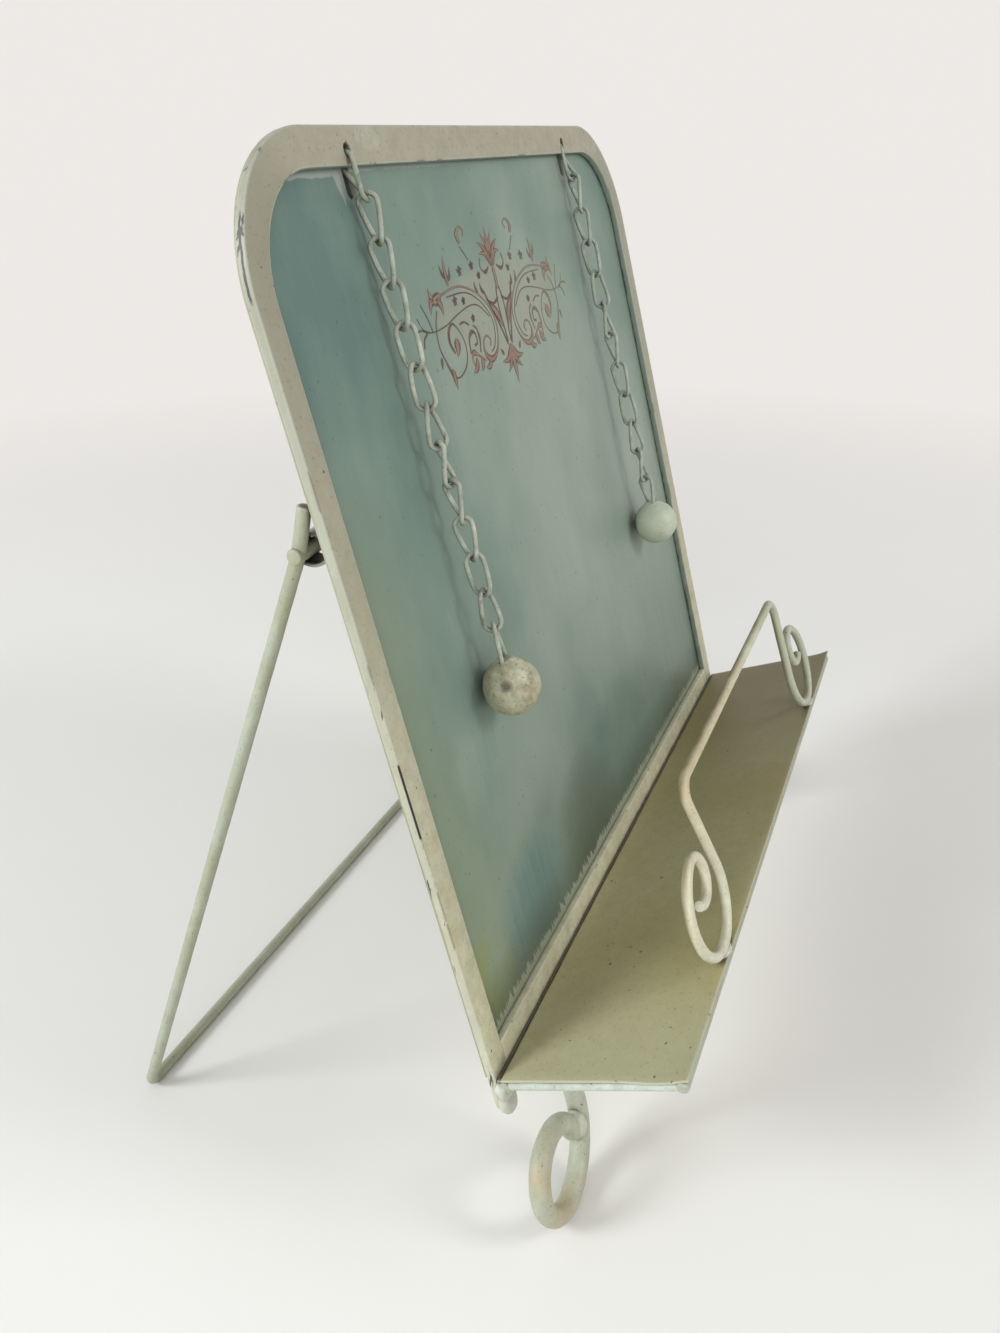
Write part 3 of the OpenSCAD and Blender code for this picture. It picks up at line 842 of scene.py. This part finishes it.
# rear leg: one rod, kinked at the pivot into two stop stubs
leg = dict(rod=4.5, bend=6, slope=21, start=1.2, stopLean=-12, stopLong=14.5, stopSteps=6, cap=0.3,
           ripple=0.02, tip=1.55, tipCap=0.02, tipRises=(-0.5, -0.25, -0.02))
pivot = jointPlaces["leg_fold"]
legDown = turnedBack(180 - leg["slope"])
stopUp = turnedBack(leg["stopLean"])
legX = halfWidth - leg["rod"] / 2
legLong = (pivot.z / mm - leg["rod"] / 2) / -legDown.z
legLine = joinRuns(run(legX, leg["start"], legX, legLong - leg["bend"], 4),
                   arc(legX - leg["bend"], legLong - leg["bend"], leg["bend"], 0, 90),
                   run(legX - leg["bend"], legLong, 0, legLong, 4))
stub = [pivot + across * legX * mm + stopUp * leg["stopLong"] * (1 - i / leg["stopSteps"]) * mm
        for i in range(leg["stopSteps"])]
rightLeg = stub + [pivot + across * x * mm + legDown * down * mm for x, down in legLine]
flip = Matrix.Diagonal((-1, 1, 1))
legPath = rightLeg + [flip @ p for p in reversed(rightLeg[:-1])]
legWire = tube("legWire", legPath, leg["rod"] / 2 * mm, ripple=leg["ripple"], cap=leg["cap"])
dress(legWire, rodPaint, "leg", "rod_paint", "leg_wire", "left_leg_stop", "right_leg_stop")

# bare ends of the stubs, where the paint has chipped off
bareLook = dict(rodLook, light=rgb(92, 84, 70), dark=rgb(62, 56, 48), wearShare=0.2)
bareIron = agedPaint("bareIron", bareLook)
stubEnd = leg["stopLong"] + leg["cap"] * leg["rod"] / 2
for side, name in bothSides:
    tipAt = pivot + across * side * legX * mm + stopUp * stubEnd * mm
    tip = [tipAt + stopUp * rise * mm for rise in leg["tipRises"]]
    dress(tube(name + "StubEnd", tip, leg["tip"] * mm, cap=leg["tipCap"]), bareIron, "leg", "rod_paint")
rodAlongX("pivotRod", "pivot_rod", rods["pivot"], "leg")

# pivot eyes: a rolled strap round the rod, with its tail on the back of the sheet
eye = dict(skin=1.1, long=5.3, high=4.2, ahead=2.55, wide=9, soft=0.3, web=2.5, webLong=1.2, turns=48)
# the dark colour in the crevice share paints shade inside the strap's bore
eyeLook = dict(rodLook, grimeAndShade=rgb(44, 42, 38), creviceReach=0.014, creviceShare=1.0)
eyePaint = agedPaint("eyePaint", eyeLook)


def eyePiece(name, node):
    low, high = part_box(node)
    axis = Vector(((low.x + high.x) / 2, pivot.y, pivot.z))
    centre = axis + boardOut * eye["ahead"] * mm
    half, soft, skin = eye["wide"] / 2, eye["soft"], eye["skin"]
    web, turns = eye["web"], eye["turns"]
    profile = [(-half + soft, 0), (-half, soft), (-half, skin - soft), (-half + soft, skin),
               (half - soft, skin), (half, skin - soft), (half, soft), (half - soft, 0)]
    size = len(profile)
    points, faces = [], []
    for t in range(turns):
        angle = 2 * math.pi * t / turns
        for x, grow in profile:
            ahead = boardOut * (eye["long"] + grow) * math.cos(angle)
            rise = boardUp * (eye["high"] + grow) * math.sin(angle)
            points.append(centre + (across * x + ahead + rise) * mm)
        here, beyond = t * size, (t + 1) % turns * size
        for k in range(size):
            m = (k + 1) % size
            faces.append((here + k, here + m, beyond + m, beyond + k))
    # the tail, a small block between the strap and the sheet
    start = len(points)
    backFace = -(stand["barThick"] + stand["sheetThick"]) - (pivot - boardFoot).dot(boardOut) / mm
    for out in (backFace - eye["webLong"], backFace):
        for x, up in ((-half + soft, -web), (half - soft, -web), (half - soft, web), (-half + soft, web)):
            points.append(axis + across * x * mm + boardOut * out * mm + boardUp * up * mm)
    box = ((0, 3, 2, 1), (4, 5, 6, 7), (0, 1, 5, 4), (1, 2, 6, 5), (2, 3, 7, 6), (3, 0, 4, 7))
    faces += [tuple(start + v for v in face) for face in box]
    piece = meshPiece(name, points, faces)
    smoothFaces(piece.data, 40)
    dress(piece, eyePaint, "stand", "rod_paint", node)


eyePiece("leftPivotEye", "left_pivot_eye")
eyePiece("rightPivotEye", "right_pivot_eye")
print("leg made")

# chains: twisted links, each a little further round than the one above
chain = dict(wire=1.8, shown=1.74, wide=8, play=0.35, sides=12, ripple=0.03, lastLonger=2.0,
             leftPitch=12.9, leftTwist=-60, leftLast=17, leftLastTwist=-16,
             leftTurns=(46, 74, 80, 90, 110, 136, 168, 201, 234, 260, 290, 328),
             rightPitch=14.1, rightTwist=-54, rightLast=54, rightLastTwist=-56,
             rightTurns=(10, 40, 66, 92, 136, 184, 226, 262, 298, 334, 370))
chainLook = dict(creamLook, light=rgb(196, 203, 189), dark=rgb(154, 162, 148), stain=rgb(106, 104, 84),
                 mottle=0.6, broad=160.0, creviceReach=0.0045, creviceShare=1.0, wearShare=0.3, rough=0.48,
                 bump=0.3, rightChain=rgb(164, 180, 166), dirtAndShade=rgb(82, 82, 70))
linkHalf = (chain["wide"] - chain["wire"]) / 2
linkLift = chain["wire"] + chain["play"]


# a greener right chain, and dirt and painted shade on the underside and on the side of the wire that is turned to
# the board
def chainGround(place, tint):
    tint = mixTint(place.along(across).remap(0.0, 60.0, 0.0, 0.5), tint, chainLook["rightChain"])
    # painted shade: darker where the wire faces down and into the board
    hidden = facingOf(place.tree).dot(tuple(boardUp * -0.6 - boardOut * 0.8))
    return mixTint(hidden.remap(0.15, 0.75, 0.0, 0.85), tint, chainLook["dirtAndShade"])


def linkPath(pitch, middleTurn, twist):
    half = linkHalf
    straight = pitch + linkLift - 2 * half
    low = -half - straight
    outline = joinRuns(arc(0, -half, half, 0, 180, 0.5), run(-half, -half, -half, low, 0.6),
                       arc(0, low, half, 180, 360, 0.5), run(half, low, half, -half, 0.6))
    if gapOf(outline[0], outline[-1]) < 0.1:
        outline.pop()
    path = []
    for x, z in outline:
        share = min(1, max(0, (-z - half * 0.5) / (straight + half)))
        angle = math.radians(middleTurn + twist * (share - 0.5))
        path.append(Vector((x * math.cos(angle), x * math.sin(angle), z)))
    return path


# a link's own frame: its upper wire's middle, Z up the chain, X along the board, Y into it
def linkFrame(name, k, count):
    hinges = {i: jointPlaces[f"{name}_link_{i}_swing"] for i in range(1, count + 1)}
    if k == 1:
        upDir = (hinges[1] - hinges[2]).normalized()
        top = hinges[1] + upDir * linkHalf * mm
    else:
        upDir = (hinges[3] - hinges[count]).normalized()
        top = hinges[k] + upDir * linkLift * mm
    turn = Matrix((across, upDir.cross(across), upDir)).transposed().to_4x4()
    return Matrix.Translation(top) @ turn


def chainLinks(name):
    pitch = chain[name + "Pitch"]
    count = sum(1 for n in frame["nodes"] if n.startswith(name + "_link_"))
    shapes = [(pitch, turn, chain[name + "Twist"]) for turn in chain[name + "Turns"]]
    shapes.append((pitch + chain["lastLonger"], chain[name + "Last"], chain[name + "LastTwist"]))
    for k in range(1, count + 1):
        node = f"{name}_link_{k}"
        place = linkFrame(name, k, count)
        path = [place @ (p * mm) for p in linkPath(*shapes[k - 1])]
        link = tube(node + "_twisted", path, chain["shown"] / 2 * mm, sides=chain["sides"], closed=True,
                    ripple=chain["ripple"])
        dress(link, chainPaint, node, "chain_paint", node)


chainPaint = agedPaint("chainPaint", chainLook, chainGround)
for side, name in bothSides:
    chainLinks(name)

# balls: a little out of round, with a dimple and a bead of paint where the last link goes in
ball = dict(size=21, shown=0.992, rings=40, sectors=64, lumps=0.006, ripple=0.004,
            dimple=0.04, dimpleWide=9, bead=0.05, beadAt=17, beadWide=5,
            spotX=-0.92, spotOut=0.28, spotUp=0.36)
ballLook = dict(creamLook, light=rgb(208, 209, 181), dark=rgb(186, 187, 160), stain=rgb(120, 108, 78),
                mottle=0.85, broad=90.0, speck=0.8, creviceReach=0.004, rough=0.45, bump=0.3,
                pit=rgb(78, 80, 76), pitEdge=rgb(134, 136, 126))
smoothBallLook = dict(ballLook, light=rgb(198, 207, 187), dark=rgb(184, 193, 173), stain=rgb(150, 152, 128),
                      mottle=0.2, speck=0.3, dots=0.1)


# a dark pit in the paint, with a greyer edge
def ballGround(spot):
    def ground(place, tint):
        far = place.vectors("DISTANCE", tuple(spot), "Value") + place.grain(500.0) * 0.0016
        tint = mixTint(far.remap(0.0034, 0.0026), tint, ballLook["pitEdge"])
        return mixTint(far.remap(0.0024, 0.0018), tint, ballLook["pit"])
    return ground


# directions from a ball's middle, ring by ring from its top, and the faces between them
def ballGrid(rings, sectors):
    directions = [Vector((0, 0, 1))]
    for i in range(1, rings):
        out, rise = math.sin(math.pi * i / rings), math.cos(math.pi * i / rings)
        for turn in (2 * math.pi * k / sectors for k in range(sectors)):
            directions.append(Vector((out * math.cos(turn), out * math.sin(turn), rise)))
    directions.append(Vector((0, 0, -1)))
    bottom = len(directions) - 1
    faces = []
    for k in range(sectors):
        m = (k + 1) % sectors
        faces += [(0, 1 + k, 1 + m), (bottom, bottom - sectors + m, bottom - sectors + k)]
        for here in range(1, bottom - sectors, sectors):
            below = here + sectors
            faces.append((here + k, below + k, below + m, here + m))
    return directions, faces


def ballPiece(name, body):
    low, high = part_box(name + "_ball")
    centre = (low + high) / 2
    upDir = (jointPlaces[f"{name}_link_3_swing"] - jointPlaces[body + "_swing"]).normalized()
    backDir = upDir.cross(across)
    radius = ball["size"] / 2 * mm
    directions, faces = ballGrid(ball["rings"], ball["sectors"])
    points = []
    for d in directions:
        polar = math.degrees(math.acos(max(-1, min(1, d.z))))
        lumps = ball["lumps"] * noise.noise(d * 2.3 + centre * 40)
        lumps += ball["ripple"] * noise.noise(d * 9 + centre * 40)
        bead = ball["bead"] * fadeOff(polar - ball["beadAt"], ball["beadWide"])
        d = d * (ball["shown"] + lumps + bead - ball["dimple"] * fadeOff(polar, ball["dimpleWide"]))
        points.append(centre + (across * d.x + backDir * d.y + upDir * d.z) * radius)
    piece = meshPiece(name + "Ball", points, faces)
    toSpot = across * ball["spotX"] + boardOut * ball["spotOut"] + boardUp * ball["spotUp"]
    if name == "left":
        finish = agedPaint("leftBallPaint", ballLook, ballGround(centre + toSpot.normalized() * radius))
    else:
        finish = agedPaint("rightBallPaint", smoothBallLook)
    dress(piece, finish, body, "ball_paint", name + "_ball")


ballPiece("left", "left_link_13")
ballPiece("right", "right_link_12")
print("chains made")

# weld beads, gathered in one piece
beads = dict(steps=3, lumps=0.16, stemDown=2.6, blobIn=2.6)
weldLook = dict(rodLook, light=rgb(212, 216, 206), dark=rgb(190, 192, 176))


# each bead's middle, and its half sizes along the shelf, out from the board and up
def beadSpots(side):
    loopX, loopUp = footLine[-1]
    stemTop = across * side * stemX - footUp * beads["stemDown"]
    loopEnd = across * side * (loopX - beads["blobIn"]) + footUp * loopUp
    return [(onBoard(side * (halfWidth - 3.4), 1.0, -5.0), (5.0, 2.8, 4.6)),  # on the bar's tail
            (onBoard(side * (halfWidth - 3.2), 0.4, -11.2), (4.8, 2.8, 4.4)),  # lower on the tail
            (onShelf(side * holder["scrollX"], holder["out"], 0.4), (5.0, 2.6, 1.5)),  # under a scroll
            (onShelf(side * (halfWidth - 3.5), 65.8, -3.6), (3.2, 2.4, 2.2)),  # shelf's front corner
            (onShelf(side * (halfWidth - 5.0), 2.8, -4.0), (4.4, 2.8, 2.5)),  # shelf's rear corner
            (footTop + stemTop * mm, (5.0, 4.6, 2.2)),  # top of the foot's stem
            (footTop + loopEnd * mm, (5.2, 5.0, 5.4))]  # paint on the end of the foot's loop


def weldBeads():
    shape = bmesh.new()
    for number, (centre, size) in enumerate(beadSpots(-1) + beadSpots(1)):
        made = bmesh.ops.create_icosphere(shape, subdivisions=beads["steps"], radius=1)["verts"]
        for v in made:
            d = v.co.copy()
            lump = 1 + beads["lumps"] * noise.noise(d * 1.7 + Vector((number * 3.1, 0, 0)))
            away = across * d.x * size[0] + shelfOut * d.y * size[1] + shelfUp * d.z * size[2]
            v.co = centre + away * lump * mm
    mesh = bpy.data.meshes.new("weldBeads")
    shape.to_mesh(mesh)
    shape.free()
    smoothFaces(mesh)
    dress(newPiece("weldBeads", mesh), agedPaint("weldPaint", weldLook), "stand", "rod_paint")


weldBeads()
print("welds made")

# scrolled ornament, printed on the sheet in thin strokes: a half and its mirror image
ornament = dict(x=-4, up=236, lift=0.04, fillLift=0.06, sink=0.03, bold=1.6, fillShare=0.5, fillFrom=1.25,
                line=rgb(76, 57, 49), lineRubbed=rgb(116, 104, 92), fill=rgb(134, 106, 90),
                fillRubbed=rgb(142, 130, 114), faded=rgb(146, 140, 124))


def printPaint(name, ink, rubbed):
    finish, tree, shader = newFinish(name)
    place = pieceCoords(tree)
    worn = place.grain(230.0, 6.0, 0.7).remap(0.45, 0.66)
    tint = mixTint(worn * 0.5, ink, rubbed)
    tint = mixTint(place.along(across).remap(-10.0, 70.0, 0.0, 0.5), tint, ornament["faded"])
    feed(shader, "Base Color", tint)
    shader.inputs["Roughness"].default_value = 0.55
    setBump(shader, place.grain(600.0), 0.2, 0.0002)
    return finish


# a smooth curve through all the points
def smoothLine(points, pieces=7):
    padded = [points[0]] + list(points) + [points[-1]]
    line = []

    def between(a, b, c, d, t):
        bend = 2 * a - 5 * b + 4 * c - d
        twist = 3 * b - a - 3 * c + d
        return 0.5 * (2 * b + (c - a) * t + bend * t * t + twist * t ** 3)

    for corners in zip(padded, padded[1:], padded[2:], padded[3:]):
        xs, ys = zip(*corners)
        line += [(between(*xs, i / pieces), between(*ys, i / pieces)) for i in range(pieces)]
    return line + [tuple(points[-1])]


# a stroke of even width that may swell at one place along it
def stroke(points, wide, swell=0.0, at=0.5, reach=0.15):
    return smoothLine(points), lambda t: wide + swell * fadeOff(t - at, reach)


def leaf(x0, y0, x1, y1, wide, bow=0.0):
    dx, dy = x1 - x0, y1 - y0
    line = []
    for t in (i / 14 for i in range(15)):
        out = bow * math.sin(math.pi * t)
        line.append((x0 + dx * t + dy * out, y0 + dy * t - dx * out))
    return line, lambda t: 0.14 + wide * math.sin(math.pi * t ** 0.7)


def rosette(x, y, size):
    return [leaf(x, y, x + size * math.cos(a), y + size * 0.8 * math.sin(a), 0.7, 0.2)
            for a in (0.5, 1.9, 3.0, 4.3, 5.4)]


def halfStrokes():
    strokes = [
        stroke([(55, 8.6), (47, 10), (38, 10.9), (30, 10.1), (20.7, 7), (13.5, 2.3), (9.4, -3.3),
                (9.6, -9.8), (14, -15.7), (20, -17.6), (24.4, -15), (24.2, -10.8), (20.6, -8.8),
                (17.6, -10.6), (18.8, -12.8)], 0.5, 1.2, 0.66, 0.09),
        stroke([(46, 8.4), (31, 8.3), (21.5, 5.2), (15, 0.6), (11.6, -4), (12, -9), (15, -13.4), (19, -15)],
               0.35),
        stroke([(56, 5), (59.5, -0.3), (60.6, -6.5), (58.4, -12), (54.8, -18.5)], 0.5, 0.5, 0.9),
        stroke([(54.8, -18.5), (49, -18.6), (42.8, -15.7), (40.1, -11.4), (40.9, -5.8), (46, -0.8),
                (50.6, -2.6), (51.8, -6.8), (49.5, -10.6)], 0.42, 0.7, 0.82),
        stroke([(71.7, 4.6), (69, 0.6), (62.7, -1.2), (51.5, -0.6), (41, 1.6), (29.2, 3.3), (21.1, 2.3),
                (13.6, -2.6)], 0.34),
        stroke([(37, -13), (35.8, -7.8), (32.4, -5.6), (29.6, -6.8), (29.8, -10), (32.4, -10.4)],
               0.6, 0.5, 0.35),
        stroke([(25.4, -17.2), (30.5, -14.6), (34.6, -12.8), (36.8, -14.8), (35.9, -18)], 0.6, 0.9, 0.5),
        stroke([(28.6, -13.6), (26.8, -9), (27.4, -5.4), (30, -3.6)], 0.5, 0.4, 0.4),
        stroke([(33, -3), (37, -1.4), (41, -1.8)], 0.5),
        stroke([(24.5, 25), (25.8, 28), (22.4, 30.4), (19.4, 29), (20.8, 27)], 0.5, 1.1, 0.2, 0.2),
        stroke([(25.4, 23.8), (23, 21.4), (20.6, 18.6)], 0.4),
        stroke([(66, -0.9), (71, 0.6), (75.4, -0.2)], 0.5),
        stroke([(67, -1), (70, -2.6), (71.4, -5.4)], 0.55),
        stroke([(62.6, -1), (64, 3.4), (66.8, 8.6)], 0.45),
        stroke([(13.6, 6.8), (11.6, 3), (7, -4.5), (1.8, -15)], 0.8),
        stroke([(1.2, 7), (2.8, 0), (1.4, -14)], 0.6),
        stroke([(4, 14.6), (8, 13), (11.4, 15), (10.4, 18.4)], 0.5, 0.5, 0.3),
        stroke([(12.6, 3.4), (7, 1.4), (1.6, 3)], 0.7),
        leaf(54.8, -15, 54.4, -22.4, 1.8), leaf(46.4, -5.6, 48.4, -12, 2.8, 0.1),
        leaf(50, 10, 60.6, 9.2, 2.6, 0.1), leaf(56, 9, 60.6, 4.4, 1.7, -0.2),
        leaf(54.6, 9, 51.4, 2.8, 2.0, 0.2), leaf(56.4, 9, 58.4, 13, 1.3, 0.2),
        leaf(61, -10, 62.4, -14, 1.1), leaf(29, -15, 31.4, -20.2, 1.7, 0.2),
        leaf(33, -14.6, 38.6, -19.6, 1.8, 0.2), leaf(21, -17.4, 27, -19.4, 1.6, 0.2),
        leaf(42.2, 11.6, 41.2, 22.2, 1.5, 0.06), leaf(42, 14.6, 45.8, 19.4, 1.0, 0.2),
        leaf(42, 13.8, 38.4, 18, 1.0, -0.2), leaf(18.5, 6.6, 20, 11, 1.0, 0.2),
        leaf(10, 0.8, 2.6, -8.6, 2.4, 0.1), leaf(13.4, 6, 15.4, 10, 1.1, 0.2),
        leaf(1, 14.5, 9.4, 24, 1.7, -0.15), leaf(1.2, 14.5, 9.8, 19.6, 1.4, -0.25),
        leaf(0.4, 15, 4.8, 27, 1.7, -0.1), leaf(0.4, -15, 11, -20.2, 1.8, 0.22),
        leaf(0.4, -16, 7.4, -25, 1.8, 0.12), leaf(8, -18, 10.4, -15.4, 1.0)]
    for x, y, size in ((30.5, 15.8, 2.6), (19.2, 16.6, 2.2), (40, 6.4, 2.4), (33, 5.6, 1.8),
                       (28.4, -1.2, 1.8), (14.6, 12.6, 1.8)):
        strokes += rosette(x, y, size)
    return strokes


def printStrokes(name, strokes, share, lift, finish):
    points, faces = [], []
    front = -stand["barThick"] + lift
    back = -stand["barThick"] - ornament["sink"]
    for line, width in strokes:
        start, count = len(points), len(line)
        for i, (x, y) in enumerate(line):
            ax, ay = line[max(0, i - 1)]
            bx, by = line[min(count - 1, i + 1)]
            far = math.hypot(bx - ax, by - ay) or 1
            half = width(i / (count - 1)) / 2 * share * ornament["bold"]
            sx, sy = -(by - ay) / far * half, (bx - ax) / far * half
            px, py = ornament["x"] + x, ornament["up"] + y
            for out in (front, back):
                points.append(onBoard(px + sx, out, py + sy))
                points.append(onBoard(px - sx, out, py - sy))
        for i in range(count - 1):
            a, b = start + i * 4, start + i * 4 + 4
            faces += [(a, a + 1, b + 1, b), (a + 2, b + 2, b + 3, a + 3),
                      (a, b, b + 2, a + 2), (a + 1, a + 3, b + 3, b + 1)]
        last = start + (count - 1) * 4
        faces += [(start, start + 2, start + 3, start + 1), (last, last + 1, last + 3, last + 2)]
    piece = meshPiece(name, points, faces, smooth=False)
    reshape(piece.data, turnOutward)
    dress(piece, finish, "stand", "teal_paint")


rightStrokes = halfStrokes()
leftStrokes = [([(-x, y) for x, y in line], width) for line, width in rightStrokes]
middleStrokes = [leaf(0, 14, 0, 29, 2.4), leaf(0, -15, 0, -30.4, 2.6),
                 stroke([(0, 14), (0.3, 10), (0, 6)], 1.6)]
allStrokes = rightStrokes + leftStrokes + middleStrokes
wideStrokes = [one for one in allStrokes if max(one[1](i / 20) for i in range(21)) > ornament["fillFrom"]]
linePaint = printPaint("ornamentLines", ornament["line"], ornament["lineRubbed"])
fillPaint = printPaint("ornamentFills", ornament["fill"], ornament["fillRubbed"])
printStrokes("ornamentLines", allStrokes, 1.0, ornament["lift"], linePaint)
printStrokes("ornamentFills", wideStrokes, ornament["fillShare"], ornament["fillLift"], fillPaint)
print("ornament made")

# pale sweep: floor that curves up into a wall all round
sweep = dict(floor=1.6, bend=1.2, wall=2.4, steps=64, bendSteps=16, rough=0.85,
             paper=rgb(236, 234, 231), paperDark=rgb(232, 230, 227), wallTint=rgb(240, 236, 233),
             glowFrom=0.45, glowFull=1.3, glow=0.9)


def palePaper():
    finish, tree, shader = newFinish("palePaper")
    place = pieceCoords(tree)
    feed(shader, "Base Color", mixTint(place.grain(3.0), sweep["paper"], sweep["paperDark"]))
    shader.inputs["Roughness"].default_value = sweep["rough"]
    # far from the part the sweep shows as pale paper; near it, the floor keeps its shading and shadows
    rays = addNode(tree, "ShaderNodeLightPath").outputs
    direct, glossy, through = (Wire(tree, rays["Is " + kind + " Ray"])
                               for kind in ("Camera", "Glossy", "Transmission"))
    seen = direct.larger(glossy).larger(through)
    far = newWire(tree, "ShaderNodeVectorMath", {0: place}, "Value", operation="LENGTH")
    share = seen * far.remap(sweep["glowFrom"], sweep["glowFull"], 0.0, sweep["glow"])
    glow = newWire(tree, "ShaderNodeEmission", {0: sweep["wallTint"], 1: 1.0})
    both = newWire(tree, "ShaderNodeMixShader", {0: share, 1: Wire(tree, shader.outputs[0]), 2: glow})
    feed(next(n for n in tree.nodes if n.type == "OUTPUT_MATERIAL"), "Surface", both)
    return finish


def paleSweep():
    count = sweep["steps"]
    profile = [(0.4, 0.0), (0.9, 0.0), (sweep["floor"], 0.0)]
    for i in range(1, sweep["bendSteps"] + 1):
        angle = math.pi / 2 * i / sweep["bendSteps"]
        out = sweep["floor"] + sweep["bend"] * math.sin(angle)
        profile.append((out, sweep["bend"] * (1 - math.cos(angle))))
    profile.append((sweep["floor"] + sweep["bend"], sweep["wall"]))
    points = [Vector((0, 0, 0))]
    for r, z in profile:
        for angle in (2 * math.pi * k / count for k in range(count)):
            points.append(Vector((r * math.cos(angle), r * math.sin(angle), z)))
    faces = [(0, 1 + k, 1 + (k + 1) % count) for k in range(count)]
    for j in range(len(profile) - 1):
        here, beyond = 1 + j * count, 1 + (j + 1) * count
        for k in range(count):
            m = (k + 1) % count
            faces.append((here + k, beyond + k, beyond + m, here + m))
    floor = meshPiece("paleSweep", points, faces)
    floor.data.materials.append(palePaper())


paleSweep()

# camera, as the photograph's edges and corners place it
view = dict(x=-416.06, y=-103.81, z=357.8, yaw=67.78, pitch=26.15, focal=1097, imageWidth=1000, sensor=36)
camera = newPiece("camera", bpy.data.cameras.new("camera"))
camera.location = (view["x"] * mm, boardFoot.y + view["y"] * mm, view["z"] * mm)
camera.rotation_euler = (math.radians(90 - view["pitch"]), 0, -math.radians(view["yaw"]))
camera.data.sensor_fit = "HORIZONTAL"
camera.data.sensor_width = view["sensor"]
camera.data.lens = view["focal"] / view["imageWidth"] * view["sensor"]
camera.data.clip_start = 0.01
bpy.context.scene.camera = camera

# soft studio light
lamps = [dict(name="window", place=(-1.45, 1.3, 1.15), size=0.7, power=30, tint=(0.92, 0.98, 1.0)),
         dict(name="fill", place=(-1.8, -0.55, 1.0), size=1.2, power=11, tint=(0.98, 1.0, 1.0)),
         dict(name="front", place=(0.3, -1.9, 1.5), size=0.8, power=16, tint=(1.0, 0.995, 0.98))]
lampAim = Vector((0, 0, 0.17))
for lamp in lamps:
    light = bpy.data.lights.new(lamp["name"], "AREA")
    light.size = lamp["size"]
    light.energy = lamp["power"]
    light.color = lamp["tint"]
    lampHolder = newPiece(lamp["name"], light)
    lampHolder.location = lamp["place"]
    lampHolder.rotation_euler = (lampAim - Vector(lamp["place"])).to_track_quat("-Z", "Y").to_euler()

surround = dict(tint=(0.985, 0.995, 1.0, 1), power=0.44)
room = bpy.data.worlds.new("room")
room.use_nodes = True
room.node_tree.nodes["Background"].inputs[0].default_value = surround["tint"]
room.node_tree.nodes["Background"].inputs[1].default_value = surround["power"]
bpy.context.scene.world = room
bpy.context.scene.view_settings.view_transform = "Standard"
print("camera and light made")
